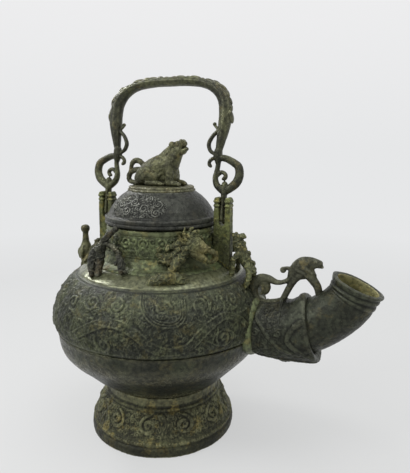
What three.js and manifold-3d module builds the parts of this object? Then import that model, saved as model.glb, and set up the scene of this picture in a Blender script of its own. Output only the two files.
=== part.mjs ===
// A bronze ritual kettle: a round bellied pot on a flared foot, with a horn spout in a
// beast-mouth sleeve, a domed lid with a seated beast, and a bail handle that swings
// between two slotted lugs. Millimetres, +Z up, +X towards the spout, the pot's own
// turning axis at X = 0 until the last lines centre the whole kettle on its own box.
import * as THREE from 'three';
import { mergeVertices } from 'three/addons/utils/BufferGeometryUtils.js';
import Module from 'manifold-3d';

const wasm = await Module();
wasm.setup();

// Clearances: castings that sit on each other, pieces that turn, and the lid beside the lugs
const SEAT_GAP = 0.3;
const RUNNING_GAP = 0.35;
const LID_CLEARANCE = 0.8;

// How many facets a full turn of a large casting and of a smaller one gets
const LARGE_TURN = 32;
const SMALL_TURN = 28;

// Foot: a cone on a plain rim and a narrow band, open underneath
const FOOT_BASE_RADIUS = 74;
const FOOT_RIM_HEIGHT = 8.4;
const FOOT_RIM_WIDTH = 6.5;
const FOOT_BAND_HEIGHT = 7.6;
const FOOT_NECK_RADIUS = 57.5;
const FOOT_MOULDING_HEIGHT = 41;
const FOOT_WALL = 3.4;

// Pot: a lower bowl and an upper shell that meet at the girth groove. The shell's outline is
// part of an ellipse about a circle inside it.
const BOWL_BOTTOM_HEIGHT = 42;
const BOWL_DEPTH = 70.5;
const BELLY_RADIUS = 107;
const BELLY_RISE = 14.5;
const SHELL_RISE = 56;
const SHELL_CENTRE_RADIUS = 26.6;
const POT_MOUTH_RADIUS = 55;
const POT_WALL = 3.2;
const GIRTH_LAP = 5;
const SHOULDER_GROOVE_RADIUS = 84.2;

// Carving: how far a ridge stands proud, how deep its foot is sunk in the casting, and the
// fields left plain beside the spout and the tail
const CARVING_RISE = 1.6;
const CARVING_SUNK = 1.2;
const SPOUT_FIELD = 20;
const TAIL_FIELD = 10;
const SERPENT_HALF_WIDTH = 3.2;
const SCROLL_HALF_WIDTH = 1.5;
const FOOT_SCROLLS = 12;
const SHELL_SCROLL_REACH = 8;
const FOOT_SCROLL_REACH = 8.6;
const SCROLL_STEPS = 5;
const SCROLL_TURNS = 1.05;

// Neck collar: its foot ring stands on the shell, and its drum and top ring on that
const NECK_FOOT_RADIUS = 68;
const NECK_FOOT_RING = 1.4;
const NECK_RADIUS = 55.6;
const NECK_MOULDING_HEIGHT = 13.2;
const NECK_WALL = 4;
const NECK_HEIGHT = 36.2;
const NECK_RING_HEIGHT = 4.6;

// Lid
const LID_RADIUS = 56;
const LID_RIM_HEIGHT = 9.4;
const LID_TOP_RADIUS = 33.6;
const LID_HEIGHT = 32.6;
const LID_WALL = 3;
const LID_FLANGE_DEPTH = 9;
const LID_FLANGE_WALL = 2.6;
const PLINTH_RADIUS = 33;
const PLINTH_HEIGHT = 5.8;

// Lugs, their slots and the pins that the bail turns on; the pins stand over the neck's top,
// and the lug's top and the slot's floor follow from the pins
const LUG_WIDTH = 16.4;
const LUG_THICKNESS = 10;
const LUG_RISE = 20.5;
const SLOT_WIDTH = 5.9;
const PIN_RISE = 8.4;
const PIN_RADIUS = 2.4;
const TANG_CLEARANCE = 1.5;

// Bail: its heights are measured up from the pins, and it rests leaning back
const BAIL_LEAN = 9;
const BAIL_HALF_SPAN = 60.7;
const BAIL_TOP = 136;
const BAIL_BAR_WIDTH = 8.4;
const BAIL_LEG_WIDTH = 11.4;
const BAIL_BAR_DEPTH = 12;
const NODE_RISE = 59.5;
const NODE_INSET = 4.7;
const SCROLL_DEPTH = 7.6;
const SCROLL_REACH = 14;

// Spout: its root's drop below the belly's widest line, its mouth's place past the belly and
// over the root, its wall, and what grips it
const HORN_ROOT_DROP = 6.6;
const HORN_REACH = 85.5;
const HORN_RISE = 50.1;
const HORN_HALF_HEIGHT = 22.4;
const HORN_HALF_WIDTH = 20.2;
const HORN_WALL = 3.2;
const SLEEVE_LENGTH = 49;
const SLEEVE_WALL = 3.4;
const FLANGE_WIDTH = 6;
const FLANGE_STANDOUT = 3.6;
const CREST_HEIGHT = 42;
const CREST_DEPTH = 8;

// Figures: the height of the beast on the lid, of a climber, and of the beasts at the lugs
const LID_BEAST_HEIGHT = 43;
const CLIMBER_HEIGHT = 52;
const SPOUT_BEAST_HEIGHT = 54;
const TAIL_BEAST_HEIGHT = 31;

// Baluster tail on the shoulder, on the side away from the spout: its place out from the lug,
// its top's height over the pot's mouth
const TAIL_STAND = 20.8;
const TAIL_RISE = 24.6;
const TAIL_HEIGHT = 47;
const TAIL_RADIUS = 7.4;

const v2 = (x, y) => new THREE.Vector2(x, y);
const v3 = (x, y, z) => new THREE.Vector3(x, y, z);
const UP = v3(0, 0, 1);
const ACROSS = v3(0, 1, 0);

const bronze = (color, roughness = 0.62) =>
  new THREE.MeshStandardMaterial({ color, roughness, metalness: 0.75 });
const bodyBronze = bronze(0x6f7161);
const footBronze = bronze(0x7a7a63);
const neckBronze = bronze(0x85866a);
const lidBronze = bronze(0x62645e, 0.5);
const bailBronze = bronze(0x77776a);
const beastBronze = bronze(0x6b6a58);
const spoutBronze = bronze(0x5f615b, 0.55);

// A closed geometry becomes a solid for joining and cutting, whichever way it is wound
function solid(geometry) {
  const bare = geometry.clone();
  bare.deleteAttribute('normal');
  bare.deleteAttribute('uv');
  const merged = mergeVertices(bare, 1e-4);
  const points = merged.getAttribute('position').array;
  const triangles = [];
  let volume = 0;
  for (let i = 0; i < merged.index.count; i += 3) {
    const [a, b, c] = [0, 1, 2].map((k) => merged.index.getX(i + k));
    if (a === b || b === c || c === a) continue;
    triangles.push([a, b, c]);
    const [pa, pb, pc] = [a, b, c].map((k) => new THREE.Vector3().fromArray(points, 3 * k));
    volume += pa.dot(pb.cross(pc));
  }
  const wound = volume < 0 ? triangles.map(([a, b, c]) => [a, c, b]) : triangles;
  const mesh = new wasm.Mesh({
    numProp: 3,
    vertProperties: new Float32Array(points),
    triVerts: new Uint32Array(wound.flat()),
  });
  return new wasm.Manifold(mesh);
}

function geometryOf(body) {
  const { vertProperties, triVerts } = body.getMesh();
  const geometry = new THREE.BufferGeometry();
  geometry.setAttribute('position', new THREE.BufferAttribute(new Float32Array(vertProperties), 3));
  geometry.setIndex(new THREE.BufferAttribute(new Uint32Array(triVerts), 1));
  geometry.computeVertexNormals();
  return geometry;
}

function piece(name, body, material) {
  const mesh = new THREE.Mesh(geometryOf(body), material);
  mesh.name = name;
  return mesh;
}

const join = (...bodies) => bodies.reduce((whole, part) => whole.add(part));
const cut = (body, ...tools) => tools.reduce((whole, tool) => whole.subtract(tool), body);

// A casting turned about the pot's axis, from an outline of (radius, height) points
function turned(outline, facets) {
  const closed = outline[0].x === 0 ? outline : [...outline, outline[0]];
  return solid(new THREE.LatheGeometry(closed, facets).rotateX(Math.PI / 2));
}

// An outline moved square to itself; a point on the axis stays on it
function offset(outline, distance) {
  return outline.map((point, i) => {
    const before = outline[Math.max(i - 1, 0)];
    const after = outline[Math.min(i + 1, outline.length - 1)];
    const along = after.clone().sub(before).normalize();
    const moved = point.clone().add(v2(along.y, -along.x).multiplyScalar(distance));
    return point.x === 0 ? v2(0, moved.y) : moved;
  });
}

const smooth = (points, count) => new THREE.SplineCurve(points).getPoints(count);
const bowed = (from, pull, to, count) =>
  new THREE.QuadraticBezierCurve(from, pull, to).getPoints(count);

// A skin over rings of points, closed by a fan at each end
function loft(rings) {
  const sides = rings[0].length;
  const centre = (ring) => ring.reduce((sum, p) => sum.add(p), v3(0, 0, 0)).divideScalar(sides);
  const points = [...rings.flat(), centre(rings[0]), centre(rings.at(-1))];
  const faces = [];
  for (let r = 0; r < rings.length - 1; r++) {
    for (let s = 0; s < sides; s++) {
      const [a, b] = [r * sides + s, r * sides + ((s + 1) % sides)];
      faces.push(a, b, b + sides, a, b + sides, a + sides);
    }
  }
  const last = (rings.length - 1) * sides;
  for (let s = 0; s < sides; s++) {
    const next = (s + 1) % sides;
    faces.push(points.length - 2, next, s, points.length - 1, last + s, last + next);
  }
  const geometry = new THREE.BufferGeometry().setFromPoints(points);
  geometry.setIndex(faces);
  return solid(geometry);
}

// A bar along a curve. sizes lists its half width in the curve's plane and its half depth
// across it, spread evenly from end to end; side is the direction the depth is measured in.
function bar(path, sizes, { sides = 6, steps = 5, side = ACROSS, growth = 0 } = {}) {
  const curve = new THREE.CatmullRomCurve3(path);
  const size = new THREE.SplineCurve(sizes.map(([width, depth]) => v2(width, depth ?? width)));
  const rings = [];
  for (let i = 0; i <= steps; i++) {
    const at = curve.getPoint(i / steps);
    const along = curve.getTangent(i / steps);
    const width = new THREE.Vector3().crossVectors(side, along).normalize();
    const depth = new THREE.Vector3().crossVectors(along, width);
    const { x, y } = size.getPoint(i / steps);
    const ring = [];
    for (let s = 0; s < sides; s++) {
      const turn = (s / sides) * 2 * Math.PI;
      const out = at.clone().addScaledVector(width, (x + growth) * Math.cos(turn));
      ring.push(out.addScaledVector(depth, (y + growth) * Math.sin(turn)));
    }
    rings.push(ring);
  }
  return loft(rings);
}

const ball = (at, radius, sides = 6) =>
  solid(new THREE.SphereGeometry(radius, sides, 4).translate(at.x, at.y, at.z));

// Bars and balls of a figure that is drawn at one height and cast at another: place puts a
// point of the drawing on the kettle, and scale is the figure's height over the drawing's
const figure = (place, scale) => ({
  bar: (points, sizes, options) => bar(
    points.map((point) => place(...point)),
    sizes.map(([width, depth]) => [width * scale, (depth ?? width) * scale]),
    options,
  ),
  ball: (point, radius) => ball(place(...point), radius * scale),
});

function rod(from, to, radius, sides = 12) {
  const length = from.distanceTo(to);
  const geometry = new THREE.CylinderGeometry(radius, radius, length, sides);
  const turn = new THREE.Quaternion().setFromUnitVectors(ACROSS, to.clone().sub(from).normalize());
  const middle = from.clone().lerp(to, 0.5);
  return solid(geometry.applyQuaternion(turn).translate(middle.x, middle.y, middle.z));
}

// A carved ridge with a three-sided section. Its half width is measured where it leaves the
// casting. Its path lists degrees about the pot's axis and shares of the band's height, and
// skin puts these on the casting at some lift above it.
function ridge(skin, path, halfWidth) {
  const last = path.length - 1;
  const footHalfWidth = halfWidth * (1 + CARVING_SUNK / CARVING_RISE);
  return loft(path.map(([degrees, share], i) => {
    const at = skin(degrees, share, 0);
    const out = skin(degrees, share, 1).sub(at);
    const before = skin(...path[Math.max(i - 1, 0)], 0);
    const after = skin(...path[Math.min(i + 1, last)], 0);
    const across = new THREE.Vector3().crossVectors(out, after.sub(before)).normalize();
    const taper = i === 0 || i === last ? 0.4 : 1;
    const foot = at.clone().addScaledVector(out, -CARVING_SUNK);
    return [
      foot.clone().addScaledVector(across, footHalfWidth * taper),
      at.clone().addScaledVector(out, CARVING_RISE * taper),
      foot.clone().addScaledVector(across, -footHalfWidth * taper),
    ];
  }));
}

// The path of a scroll that winds in to its middle; the band's length round the pot and its
// height turn the scroll's reach into degrees and shares
function scrollPath([degrees, share], reach, start, hand, [length, height]) {
  return Array.from({ length: SCROLL_STEPS + 1 }, (_, i) => {
    const turn = start + hand * (i / SCROLL_STEPS) * SCROLL_TURNS * 2 * Math.PI;
    const out = reach * (1 - (0.75 * i) / SCROLL_STEPS);
    return [degrees + (out * Math.cos(turn) * 360) / length, share + (out * Math.sin(turn)) / height];
  });
}

// A place beside the pot's axis: degrees from the X axis, radius and height
const around = (degrees, radius, height) => {
  const turn = THREE.MathUtils.degToRad(degrees);
  return v3(radius * Math.cos(turn), radius * Math.sin(turn), height);
};

// The upper shell's outline; the girth and the mouth are points on it
const girthHeight = BOWL_BOTTOM_HEIGHT + BOWL_DEPTH;
const bellyHeight = girthHeight + BELLY_RISE;
const shellSpread = BELLY_RADIUS - SHELL_CENTRE_RADIUS;
const shellPoint = (angle) => v2(
  SHELL_CENTRE_RADIUS + shellSpread * Math.cos(angle), bellyHeight + SHELL_RISE * Math.sin(angle),
);
const shellAngle = (radius) => Math.acos((radius - SHELL_CENTRE_RADIUS) / shellSpread);
const shellHeight = (radius) => shellPoint(shellAngle(radius)).y;
const girthAngle = -Math.asin(BELLY_RISE / SHELL_RISE);
const mouthAngle = shellAngle(POT_MOUTH_RADIUS);
const girthRadius = shellPoint(girthAngle).x;
const mouthHeight = shellHeight(POT_MOUTH_RADIUS);
const SHELL_STEPS = 6;
const upperOutline = Array.from({ length: SHELL_STEPS + 1 }, (_, i) =>
  shellPoint(THREE.MathUtils.lerp(girthAngle, mouthAngle, i / SHELL_STEPS)));

// The lower bowl's outline, as shares of its radius and height, dips where the foot takes it
const lowerOutline = smooth([
  [0, 0], [0.3, 0.02], [0.56, 0.15], [0.755, 0.425], [0.923, 0.695], [1, 1],
].map(([across, up]) => v2(across * girthRadius, BOWL_BOTTOM_HEIGHT + up * BOWL_DEPTH)), 7);
const potSkin = [...offset(lowerOutline, SEAT_GAP), ...offset(upperOutline, SEAT_GAP)];
const potEnvelope = turned([...potSkin, v2(0, mouthHeight + SEAT_GAP)], LARGE_TURN);

// Foot: its blank runs up into the bowl, and the bowl's skin trims it to a seat. Scrolls
// stand round its cone in mirrored pairs.
function makeFoot() {
  const bandTop = FOOT_RIM_HEIGHT + FOOT_BAND_HEIGHT;
  const bandRadius = FOOT_BASE_RADIUS - 3;
  const bandMiddle = FOOT_RIM_HEIGHT + FOOT_BAND_HEIGHT / 2;
  const blankTop = BOWL_BOTTOM_HEIGHT + BOWL_DEPTH / 3;
  const outside = [
    v2(FOOT_BASE_RADIUS, 0), v2(FOOT_BASE_RADIUS + 0.6, FOOT_RIM_HEIGHT / 2),
    v2(FOOT_BASE_RADIUS + 0.3, FOOT_RIM_HEIGHT), v2(FOOT_BASE_RADIUS - 1.6, FOOT_RIM_HEIGHT + 0.8),
    v2(FOOT_BASE_RADIUS - 0.4, bandMiddle), v2(bandRadius - 0.2, bandTop - 0.8),
    v2(bandRadius, bandTop), v2(FOOT_NECK_RADIUS + 1.7, FOOT_MOULDING_HEIGHT - 2.2),
    v2(FOOT_NECK_RADIUS + 2.2, FOOT_MOULDING_HEIGHT - 0.8), v2(FOOT_NECK_RADIUS, FOOT_MOULDING_HEIGHT + 1),
    v2(FOOT_NECK_RADIUS, blankTop),
  ];
  const inside = [
    v2(FOOT_NECK_RADIUS - FOOT_WALL, blankTop), v2(FOOT_NECK_RADIUS - FOOT_WALL, FOOT_MOULDING_HEIGHT - 1),
    v2(bandRadius - FOOT_WALL - 1, bandTop), v2(FOOT_BASE_RADIUS - FOOT_RIM_WIDTH, FOOT_RIM_HEIGHT),
    v2(FOOT_BASE_RADIUS - FOOT_RIM_WIDTH, 0),
  ];
  const [low, high] = [v2(bandRadius, bandTop), v2(FOOT_NECK_RADIUS + 1.7, FOOT_MOULDING_HEIGHT - 2.2)];
  const slope = high.clone().sub(low);
  const outward = v2(slope.y, -slope.x).normalize();
  const cone = (degrees, share, lift) => {
    const { x, y } = low.clone().addScaledVector(slope, share).addScaledVector(outward, lift);
    return around(degrees, x, y);
  };
  const size = [Math.PI * (low.x + high.x), slope.length()];
  const scrolls = Array.from({ length: FOOT_SCROLLS }, (_, i) => {
    const centre = [((i + 0.5) * 360) / FOOT_SCROLLS, 0.5];
    const [start, hand] = i % 2 ? [1.9, 1] : [Math.PI - 1.9, -1];
    return ridge(cone, scrollPath(centre, FOOT_SCROLL_REACH, start, hand, size), SCROLL_HALF_WIDTH);
  });
  return cut(join(turned([...outside, ...inside], LARGE_TURN), ...scrolls), potEnvelope);
}

// The lower bowl carries a rebate inside its rim, where the upper shell's lap hangs
const rebateRadius = girthRadius - POT_WALL / 2;
const lapInnerRadius = girthRadius - POT_WALL - 0.4;
function makeLowerBowl() {
  const inner = offset(lowerOutline, -POT_WALL).reverse();
  const rim = [
    v2(rebateRadius, girthHeight), v2(rebateRadius, girthHeight - GIRTH_LAP),
    v2(lapInnerRadius, girthHeight - GIRTH_LAP),
  ];
  const kept = inner.filter((p) => p.y < girthHeight - GIRTH_LAP - 1);
  return turned([...lowerOutline, ...rim, ...kept], LARGE_TURN);
}

// The shell's carved band: on each side a long and a short serpent wind along it, with a
// crescent cloud over the long one's back and scrolls between. The carving stops short of the
// spout and of the tail's fittings.
function makeCarving() {
  const shoulderAngle = shellAngle(SHOULDER_GROOVE_RADIUS);
  const skin = (degrees, share, lift) => {
    const angle = THREE.MathUtils.lerp(girthAngle, shoulderAngle, share);
    const { x, y } = shellPoint(angle);
    const out = v2(Math.cos(angle) / shellSpread, Math.sin(angle) / SHELL_RISE).normalize();
    return around(degrees, x + lift * out.x, y + lift * out.y);
  };
  const ends = [skin(0, 0, 0), skin(0, 0.5, 0), skin(0, 1, 0)];
  const size = [2 * Math.PI * ends[1].x, ends[0].distanceTo(ends[1]) + ends[1].distanceTo(ends[2])];
  const serpents = [[
    [-124, 0.34], [-117, 0.2], [-110, 0.2], [-103, 0.32], [-96, 0.44], [-89, 0.53], [-81, 0.5],
    [-74, 0.4], [-68, 0.24], [-60, 0.15], [-51, 0.2], [-45, 0.36], [-38, 0.5], [-30, 0.56],
    [-22, 0.46], [-17, 0.3],
  ], [[-178, 0.4], [-169, 0.54], [-160, 0.54], [-151, 0.4], [-142, 0.2], [-133, 0.17]]];
  const cloud = [[-73, 0.88], [-72, 0.72], [-66, 0.53], [-57, 0.5], [-51.5, 0.62], [-51, 0.82]];
  const scrolls = [
    [-62, 0.76, 0.4, 1], [-86, 0.78, 2, -1], [-101, 0.76, 4, 1], [-115, 0.68, 5, -1],
    [-90, 0.2, 3.2, 1], [-42, 0.77, 3.6, -1], [-33, 0.25, 2.7, 1], [-22, 0.76, 4.4, -1],
    [-135, 0.78, 2.4, -1], [-151, 0.75, 4, 1], [-166, 0.8, 1.5, -1], [-158, 0.2, 3.4, 1],
  ];
  const wound = (points, count) =>
    smooth(points.map(([degrees, share]) => v2(degrees, share)), count).map(({ x, y }) => [x, y]);
  const near = wasm.Manifold.union([
    ...serpents.map((path) => ridge(skin, wound(path, Math.round(path.length * 1.3)), SERPENT_HALF_WIDTH)),
    ridge(skin, wound(cloud, 8), SCROLL_HALF_WIDTH),
    ...scrolls.map(([degrees, share, start, hand]) =>
      ridge(skin, scrollPath([degrees, share], SHELL_SCROLL_REACH, start, hand, size), SCROLL_HALF_WIDTH)),
  ]);
  const clear = (from, to, halfWidth) => {
    const block = new THREE.BoxGeometry(to - from, 2 * halfWidth, SHELL_RISE * 2);
    return solid(block.translate((from + to) / 2, 0, bellyHeight));
  };
  return cut(
    join(near, near.mirror([0, 1, 0])),
    clear(lugReach, BELLY_RADIUS + SHELL_RISE, HORN_HALF_WIDTH + SPOUT_FIELD),
    clear(-BELLY_RADIUS - SHELL_RISE, -lugReach, TAIL_RADIUS + TAIL_FIELD),
  );
}

function makeUpperShell() {
  const inner = offset(upperOutline, -POT_WALL).reverse();
  const lapOuter = rebateRadius - SEAT_GAP;
  const lapFoot = girthHeight - GIRTH_LAP + SEAT_GAP;
  const lap = [
    v2(lapInnerRadius, lapFoot), v2(lapOuter, lapFoot), v2(lapOuter, girthHeight + SEAT_GAP),
    v2(girthRadius - 0.8, girthHeight + SEAT_GAP), v2(girthRadius + 0.3, girthHeight + 1.6),
  ];
  return join(turned([...lap, ...upperOutline.slice(1), ...inner.slice(0, -1)], LARGE_TURN), makeCarving());
}

// Neck collar: foot ring, hollow moulding, carved drum and top ring
const neckBore = NECK_RADIUS - NECK_WALL - 1.2;
const neckFoot = shellHeight(NECK_FOOT_RADIUS) + NECK_FOOT_RING;
const neckTop = neckFoot + NECK_HEIGHT;
const ringFoot = neckTop - NECK_RING_HEIGHT;
const neckRoot = neckFoot - NECK_FOOT_RING - 5.6;
const neckOutline = [
  v2(NECK_FOOT_RADIUS, neckRoot), v2(NECK_FOOT_RADIUS, neckFoot),
  ...bowed(
    v2(NECK_FOOT_RADIUS - 1.5, neckFoot + 1.4), v2(NECK_RADIUS + 2.9, neckFoot + 3.6),
    v2(NECK_RADIUS + 1.4, neckFoot + NECK_MOULDING_HEIGHT), 3,
  ),
  v2(NECK_RADIUS - 1.6, ringFoot - 0.6), v2(NECK_RADIUS - 1.2, ringFoot + 0.6),
  v2(NECK_RADIUS - 1.2, neckTop),
];
const neckEnvelope = turned([
  v2(0, neckRoot), ...offset(neckOutline, SEAT_GAP), v2(0, neckTop),
], SMALL_TURN);
function makeNeckCollar() {
  const inside = [v2(neckBore, neckTop), v2(neckBore, neckRoot)];
  return cut(turned([...neckOutline, ...inside], SMALL_TURN), potEnvelope);
}

// Lid: rim with two grooves, dome, flat crown, and a flange that drops into the neck
const lidFoot = neckTop + SEAT_GAP;
const lidRimTop = lidFoot + LID_RIM_HEIGHT;
const lidCrown = lidFoot + LID_HEIGHT;
const domeFootRadius = LID_RADIUS - 3;
function domeOutline(inset) {
  const from = v2(domeFootRadius - inset, lidRimTop + 0.3);
  const to = v2(LID_TOP_RADIUS - inset, lidCrown - inset - 1);
  const pull = v2(from.x - (from.x - to.x) * 0.3, from.y + (to.y - from.y) * 0.44);
  return bowed(from, pull, to, 3);
}
function makeLidDome() {
  const groove = 0.8;
  const rimMiddle = (lidFoot + lidRimTop) / 2;
  const flangeOuter = neckBore - RUNNING_GAP;
  const flangeInner = flangeOuter - LID_FLANGE_WALL;
  const rim = [
    v2(LID_RADIUS, lidFoot), v2(LID_RADIUS, rimMiddle - 0.7), v2(LID_RADIUS - groove, rimMiddle),
    v2(LID_RADIUS, rimMiddle + 0.7), v2(LID_RADIUS, lidRimTop - 0.6), v2(LID_RADIUS - 1, lidRimTop),
  ];
  const under = [
    v2(0, lidCrown), v2(0, lidCrown - LID_WALL), ...domeOutline(LID_WALL).reverse(),
    v2(flangeInner, lidRimTop - LID_WALL), v2(flangeInner, lidFoot - LID_FLANGE_DEPTH),
    v2(flangeOuter, lidFoot - LID_FLANGE_DEPTH), v2(flangeOuter, lidFoot),
  ];
  return turned([...rim, ...domeOutline(0), v2(LID_TOP_RADIUS, lidCrown), ...under], SMALL_TURN);
}
const lidSweep = turned([
  v2(0, ringFoot), v2(LID_RADIUS + LID_CLEARANCE, ringFoot),
  v2(LID_RADIUS + LID_CLEARANCE, lidCrown + LID_HEIGHT), v2(0, lidCrown + LID_HEIGHT),
], SMALL_TURN);

const plinthFoot = lidCrown + SEAT_GAP;
const plinthTop = plinthFoot + PLINTH_HEIGHT;
const plinthOutline = [
  v2(PLINTH_RADIUS, plinthFoot), v2(PLINTH_RADIUS, plinthFoot + 1.6),
  v2(PLINTH_RADIUS - 1.6, plinthFoot + 2.2), v2(PLINTH_RADIUS - 1.6, plinthTop - 1.8),
  v2(PLINTH_RADIUS - 2.8, plinthTop),
];
const makeLidPlinth = () =>
  turned([v2(0, plinthFoot), ...plinthOutline, v2(0, plinthTop)], SMALL_TURN);

// Seated beast on the lid, head thrown up towards the spout, mouth open
function makeLidBeast() {
  const ground = plinthTop + SEAT_GAP;
  const scale = LID_BEAST_HEIGHT / 43;
  const draw = figure((x, y, rise) => v3(x * scale, y * scale, ground + rise * scale), scale);
  const short = { steps: 2 };
  const parts = [
    draw.bar(
      [[-24, 0, 6], [-15, 0, 10.5], [-3, 0, 17], [8, 0, 24], [15, 0, 31], [20, 0, 36]],
      [[6, 7], [11, 11], [11.5, 11], [8.5, 8.5], [6, 6.2], [4.6, 5.4]], { sides: 8, steps: 6 },
    ),
    draw.bar([[16, 0, 35], [22, 0, 39.5], [26, 0, 43]], [[4.2, 4.8], [3.4, 4], [1.6, 2]], short),
    draw.bar([[15, 0, 31.5], [23, 0, 33], [28.5, 0, 34.5]], [[3.4, 4], [2.4, 3.4], [1.4, 2]], short),
  ];
  for (const side of [-1, 1]) {
    const fore = [[10, side * 6, 20], [13.5, side * 6.6, 9], [14.5, side * 6.6, 1.8]];
    const paw = [[12, side * 6.6, 2.2], [19, side * 6.8, 2.1], [25, side * 6.8, 1.5]];
    const haunch = [[-19, side * 8, 7], [-12, side * 9.5, 10], [-4, side * 9, 7]];
    const hind = [[-13, side * 10, 2.4], [-4, side * 10.5, 2.2], [4, side * 10.5, 1.5]];
    parts.push(
      draw.ball([14.5, side * 3.6, 39], 2.7),
      draw.bar(fore, [[4.6], [3.6], [3]], short),
      draw.bar(paw, [[2.2, 3], [2.1, 3], [1.2, 2]], short),
      draw.bar(haunch, [[6, 4.5], [8.6, 5.6], [5, 4.5]], short),
      draw.bar(hind, [[2.4, 3.2], [2.2, 3], [1.3, 2]], short),
    );
  }
  const tail = draw.bar([
    [-21, 0, 12], [-24.5, 0, 21], [-30.5, 0, 24.5], [-35.5, 0, 19.5], [-33, 0, 14.6],
    [-37.6, 0, 9], [-37.4, 0, 3.5], [-32.4, 0, -0.4], [-26, 0, 2.6],
  ], [[2.4], [2.2], [2.3]], { sides: 5, steps: 14 });
  const platform = turned([
    v2(0, lidCrown - LID_WALL), v2(PLINTH_RADIUS + SEAT_GAP, lidCrown - LID_WALL),
    ...offset(plinthOutline, SEAT_GAP), v2(0, ground),
  ], SMALL_TURN);
  return cut(join(...parts, tail), platform);
}

// Lugs: a flat post with a slot open at the top, rounded cheeks and a bored pin hole.
// A lug stands clear of the lid, so its place follows from the lid's rim.
const lugReach = LID_RADIUS + LID_CLEARANCE + LUG_WIDTH / 2;
const lugRoot = shellHeight(lugReach + LUG_WIDTH / 2) - 2;
const pinHeight = neckTop + PIN_RISE;
const lugTop = pinHeight + LUG_RISE;
const slotFloor = pinHeight - LUG_THICKNESS / 2 - TANG_CLEARANCE;
function lugOutline() {
  const half = LUG_WIDTH / 2;
  const slot = SLOT_WIDTH / 2;
  const cheek = (half - slot) / 2;
  const top = lugTop - cheek;
  const shape = new THREE.Shape();
  shape.moveTo(-half - 0.6, lugRoot);
  shape.lineTo(half + 0.6, lugRoot);
  shape.lineTo(half, top);
  shape.absarc(slot + cheek, top, cheek, 0, Math.PI, false);
  shape.lineTo(slot, slotFloor + slot);
  shape.absarc(0, slotFloor + slot, slot, 0, Math.PI, true);
  shape.lineTo(-slot, top);
  shape.absarc(-slot - cheek, top, cheek, 0, Math.PI, false);
  return shape;
}
function makeLug(side) {
  const chamfer = 0.8;
  const post = new THREE.ExtrudeGeometry(lugOutline(), {
    depth: LUG_THICKNESS - 2 * chamfer, bevelEnabled: true, bevelThickness: chamfer,
    bevelSize: chamfer, bevelOffset: -chamfer, bevelSegments: 1, curveSegments: 5,
  });
  post.translate(0, 0, chamfer - LUG_THICKNESS / 2).rotateX(Math.PI / 2);
  post.translate(side * lugReach, 0, 0);
  return cut(solid(post), pinHole(side * lugReach, pinHeight, LUG_WIDTH), potEnvelope, neckEnvelope);
}
const pinHole = (x, height, halfLength) =>
  rod(v3(x - halfLength, 0, height), v3(x + halfLength, 0, height), PIN_RADIUS + SEAT_GAP);
function makePin(side) {
  const half = LUG_WIDTH / 2 - 0.4;
  const x = side * lugReach;
  return rod(v3(x - half, 0, pinHeight), v3(x + half, 0, pinHeight), PIN_RADIUS);
}
// The space a lug fills with its gap, for the beasts that lean on it
function lugBlock(side) {
  const [width, thickness] = [LUG_WIDTH + 1.2 + 2 * SEAT_GAP, LUG_THICKNESS + 2 * SEAT_GAP];
  const height = lugTop - lugRoot;
  const block = new THREE.BoxGeometry(width, thickness, height);
  return solid(block.translate(side * lugReach, 0, lugRoot + height / 2));
}

// Bail bar: one arch with a tapered tenon at each end, a tendril and a spur inside each leg.
// The bail is drawn upright, with the pins at height 0.
const nodeX = BAIL_HALF_SPAN - NODE_INSET;
function archBar(growth) {
  const rise = BAIL_TOP - BAIL_BAR_WIDTH / 2 - NODE_RISE;
  const right = [
    [0, 1], [0.34, 0.995], [0.64, 0.95], [0.84, 0.865], [0.96, 0.735], [1, 0.57], [0.995, 0.4],
    [0.965, 0.22],
  ].map(([x, z]) => v3(x * BAIL_HALF_SPAN, 0, NODE_RISE + z * rise));
  right.push(v3(nodeX, 0, NODE_RISE - growth));
  const left = right.slice(1).reverse().map((p) => v3(-p.x, 0, p.z));
  const leg = [BAIL_LEG_WIDTH / 2, BAIL_BAR_DEPTH / 2];
  const top = [BAIL_BAR_WIDTH / 2, BAIL_BAR_DEPTH / 2];
  const tenon = [2.6, 3.2];
  return bar(
    [...left, ...right], [tenon, leg, leg, top, top, top, leg, leg, tenon], { sides: 8, steps: 26, growth },
  );
}
function makeBailArch() {
  const sprigs = [-1, 1].flatMap((side) => {
    const at = (inwards, up) => v3(side * (nodeX - inwards), 0, NODE_RISE + up);
    return [
      bar(
        [at(0, 24), at(6.6, 18.5), at(10, 11.5), at(8.6, 5.5), at(6.4, 3.4)],
        [[1.8, 2.6], [2, 3], [1.8, 2.6]],
      ),
      bar([at(0, 24), at(3.6, 26.5), at(5, 30)], [[1.8, 2.4], [1.4, 2], [1.6, 2]], { steps: 2 }),
      ball(at(5, 30), 2.1),
    ];
  });
  return join(archBar(0), ...sprigs);
}

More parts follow.
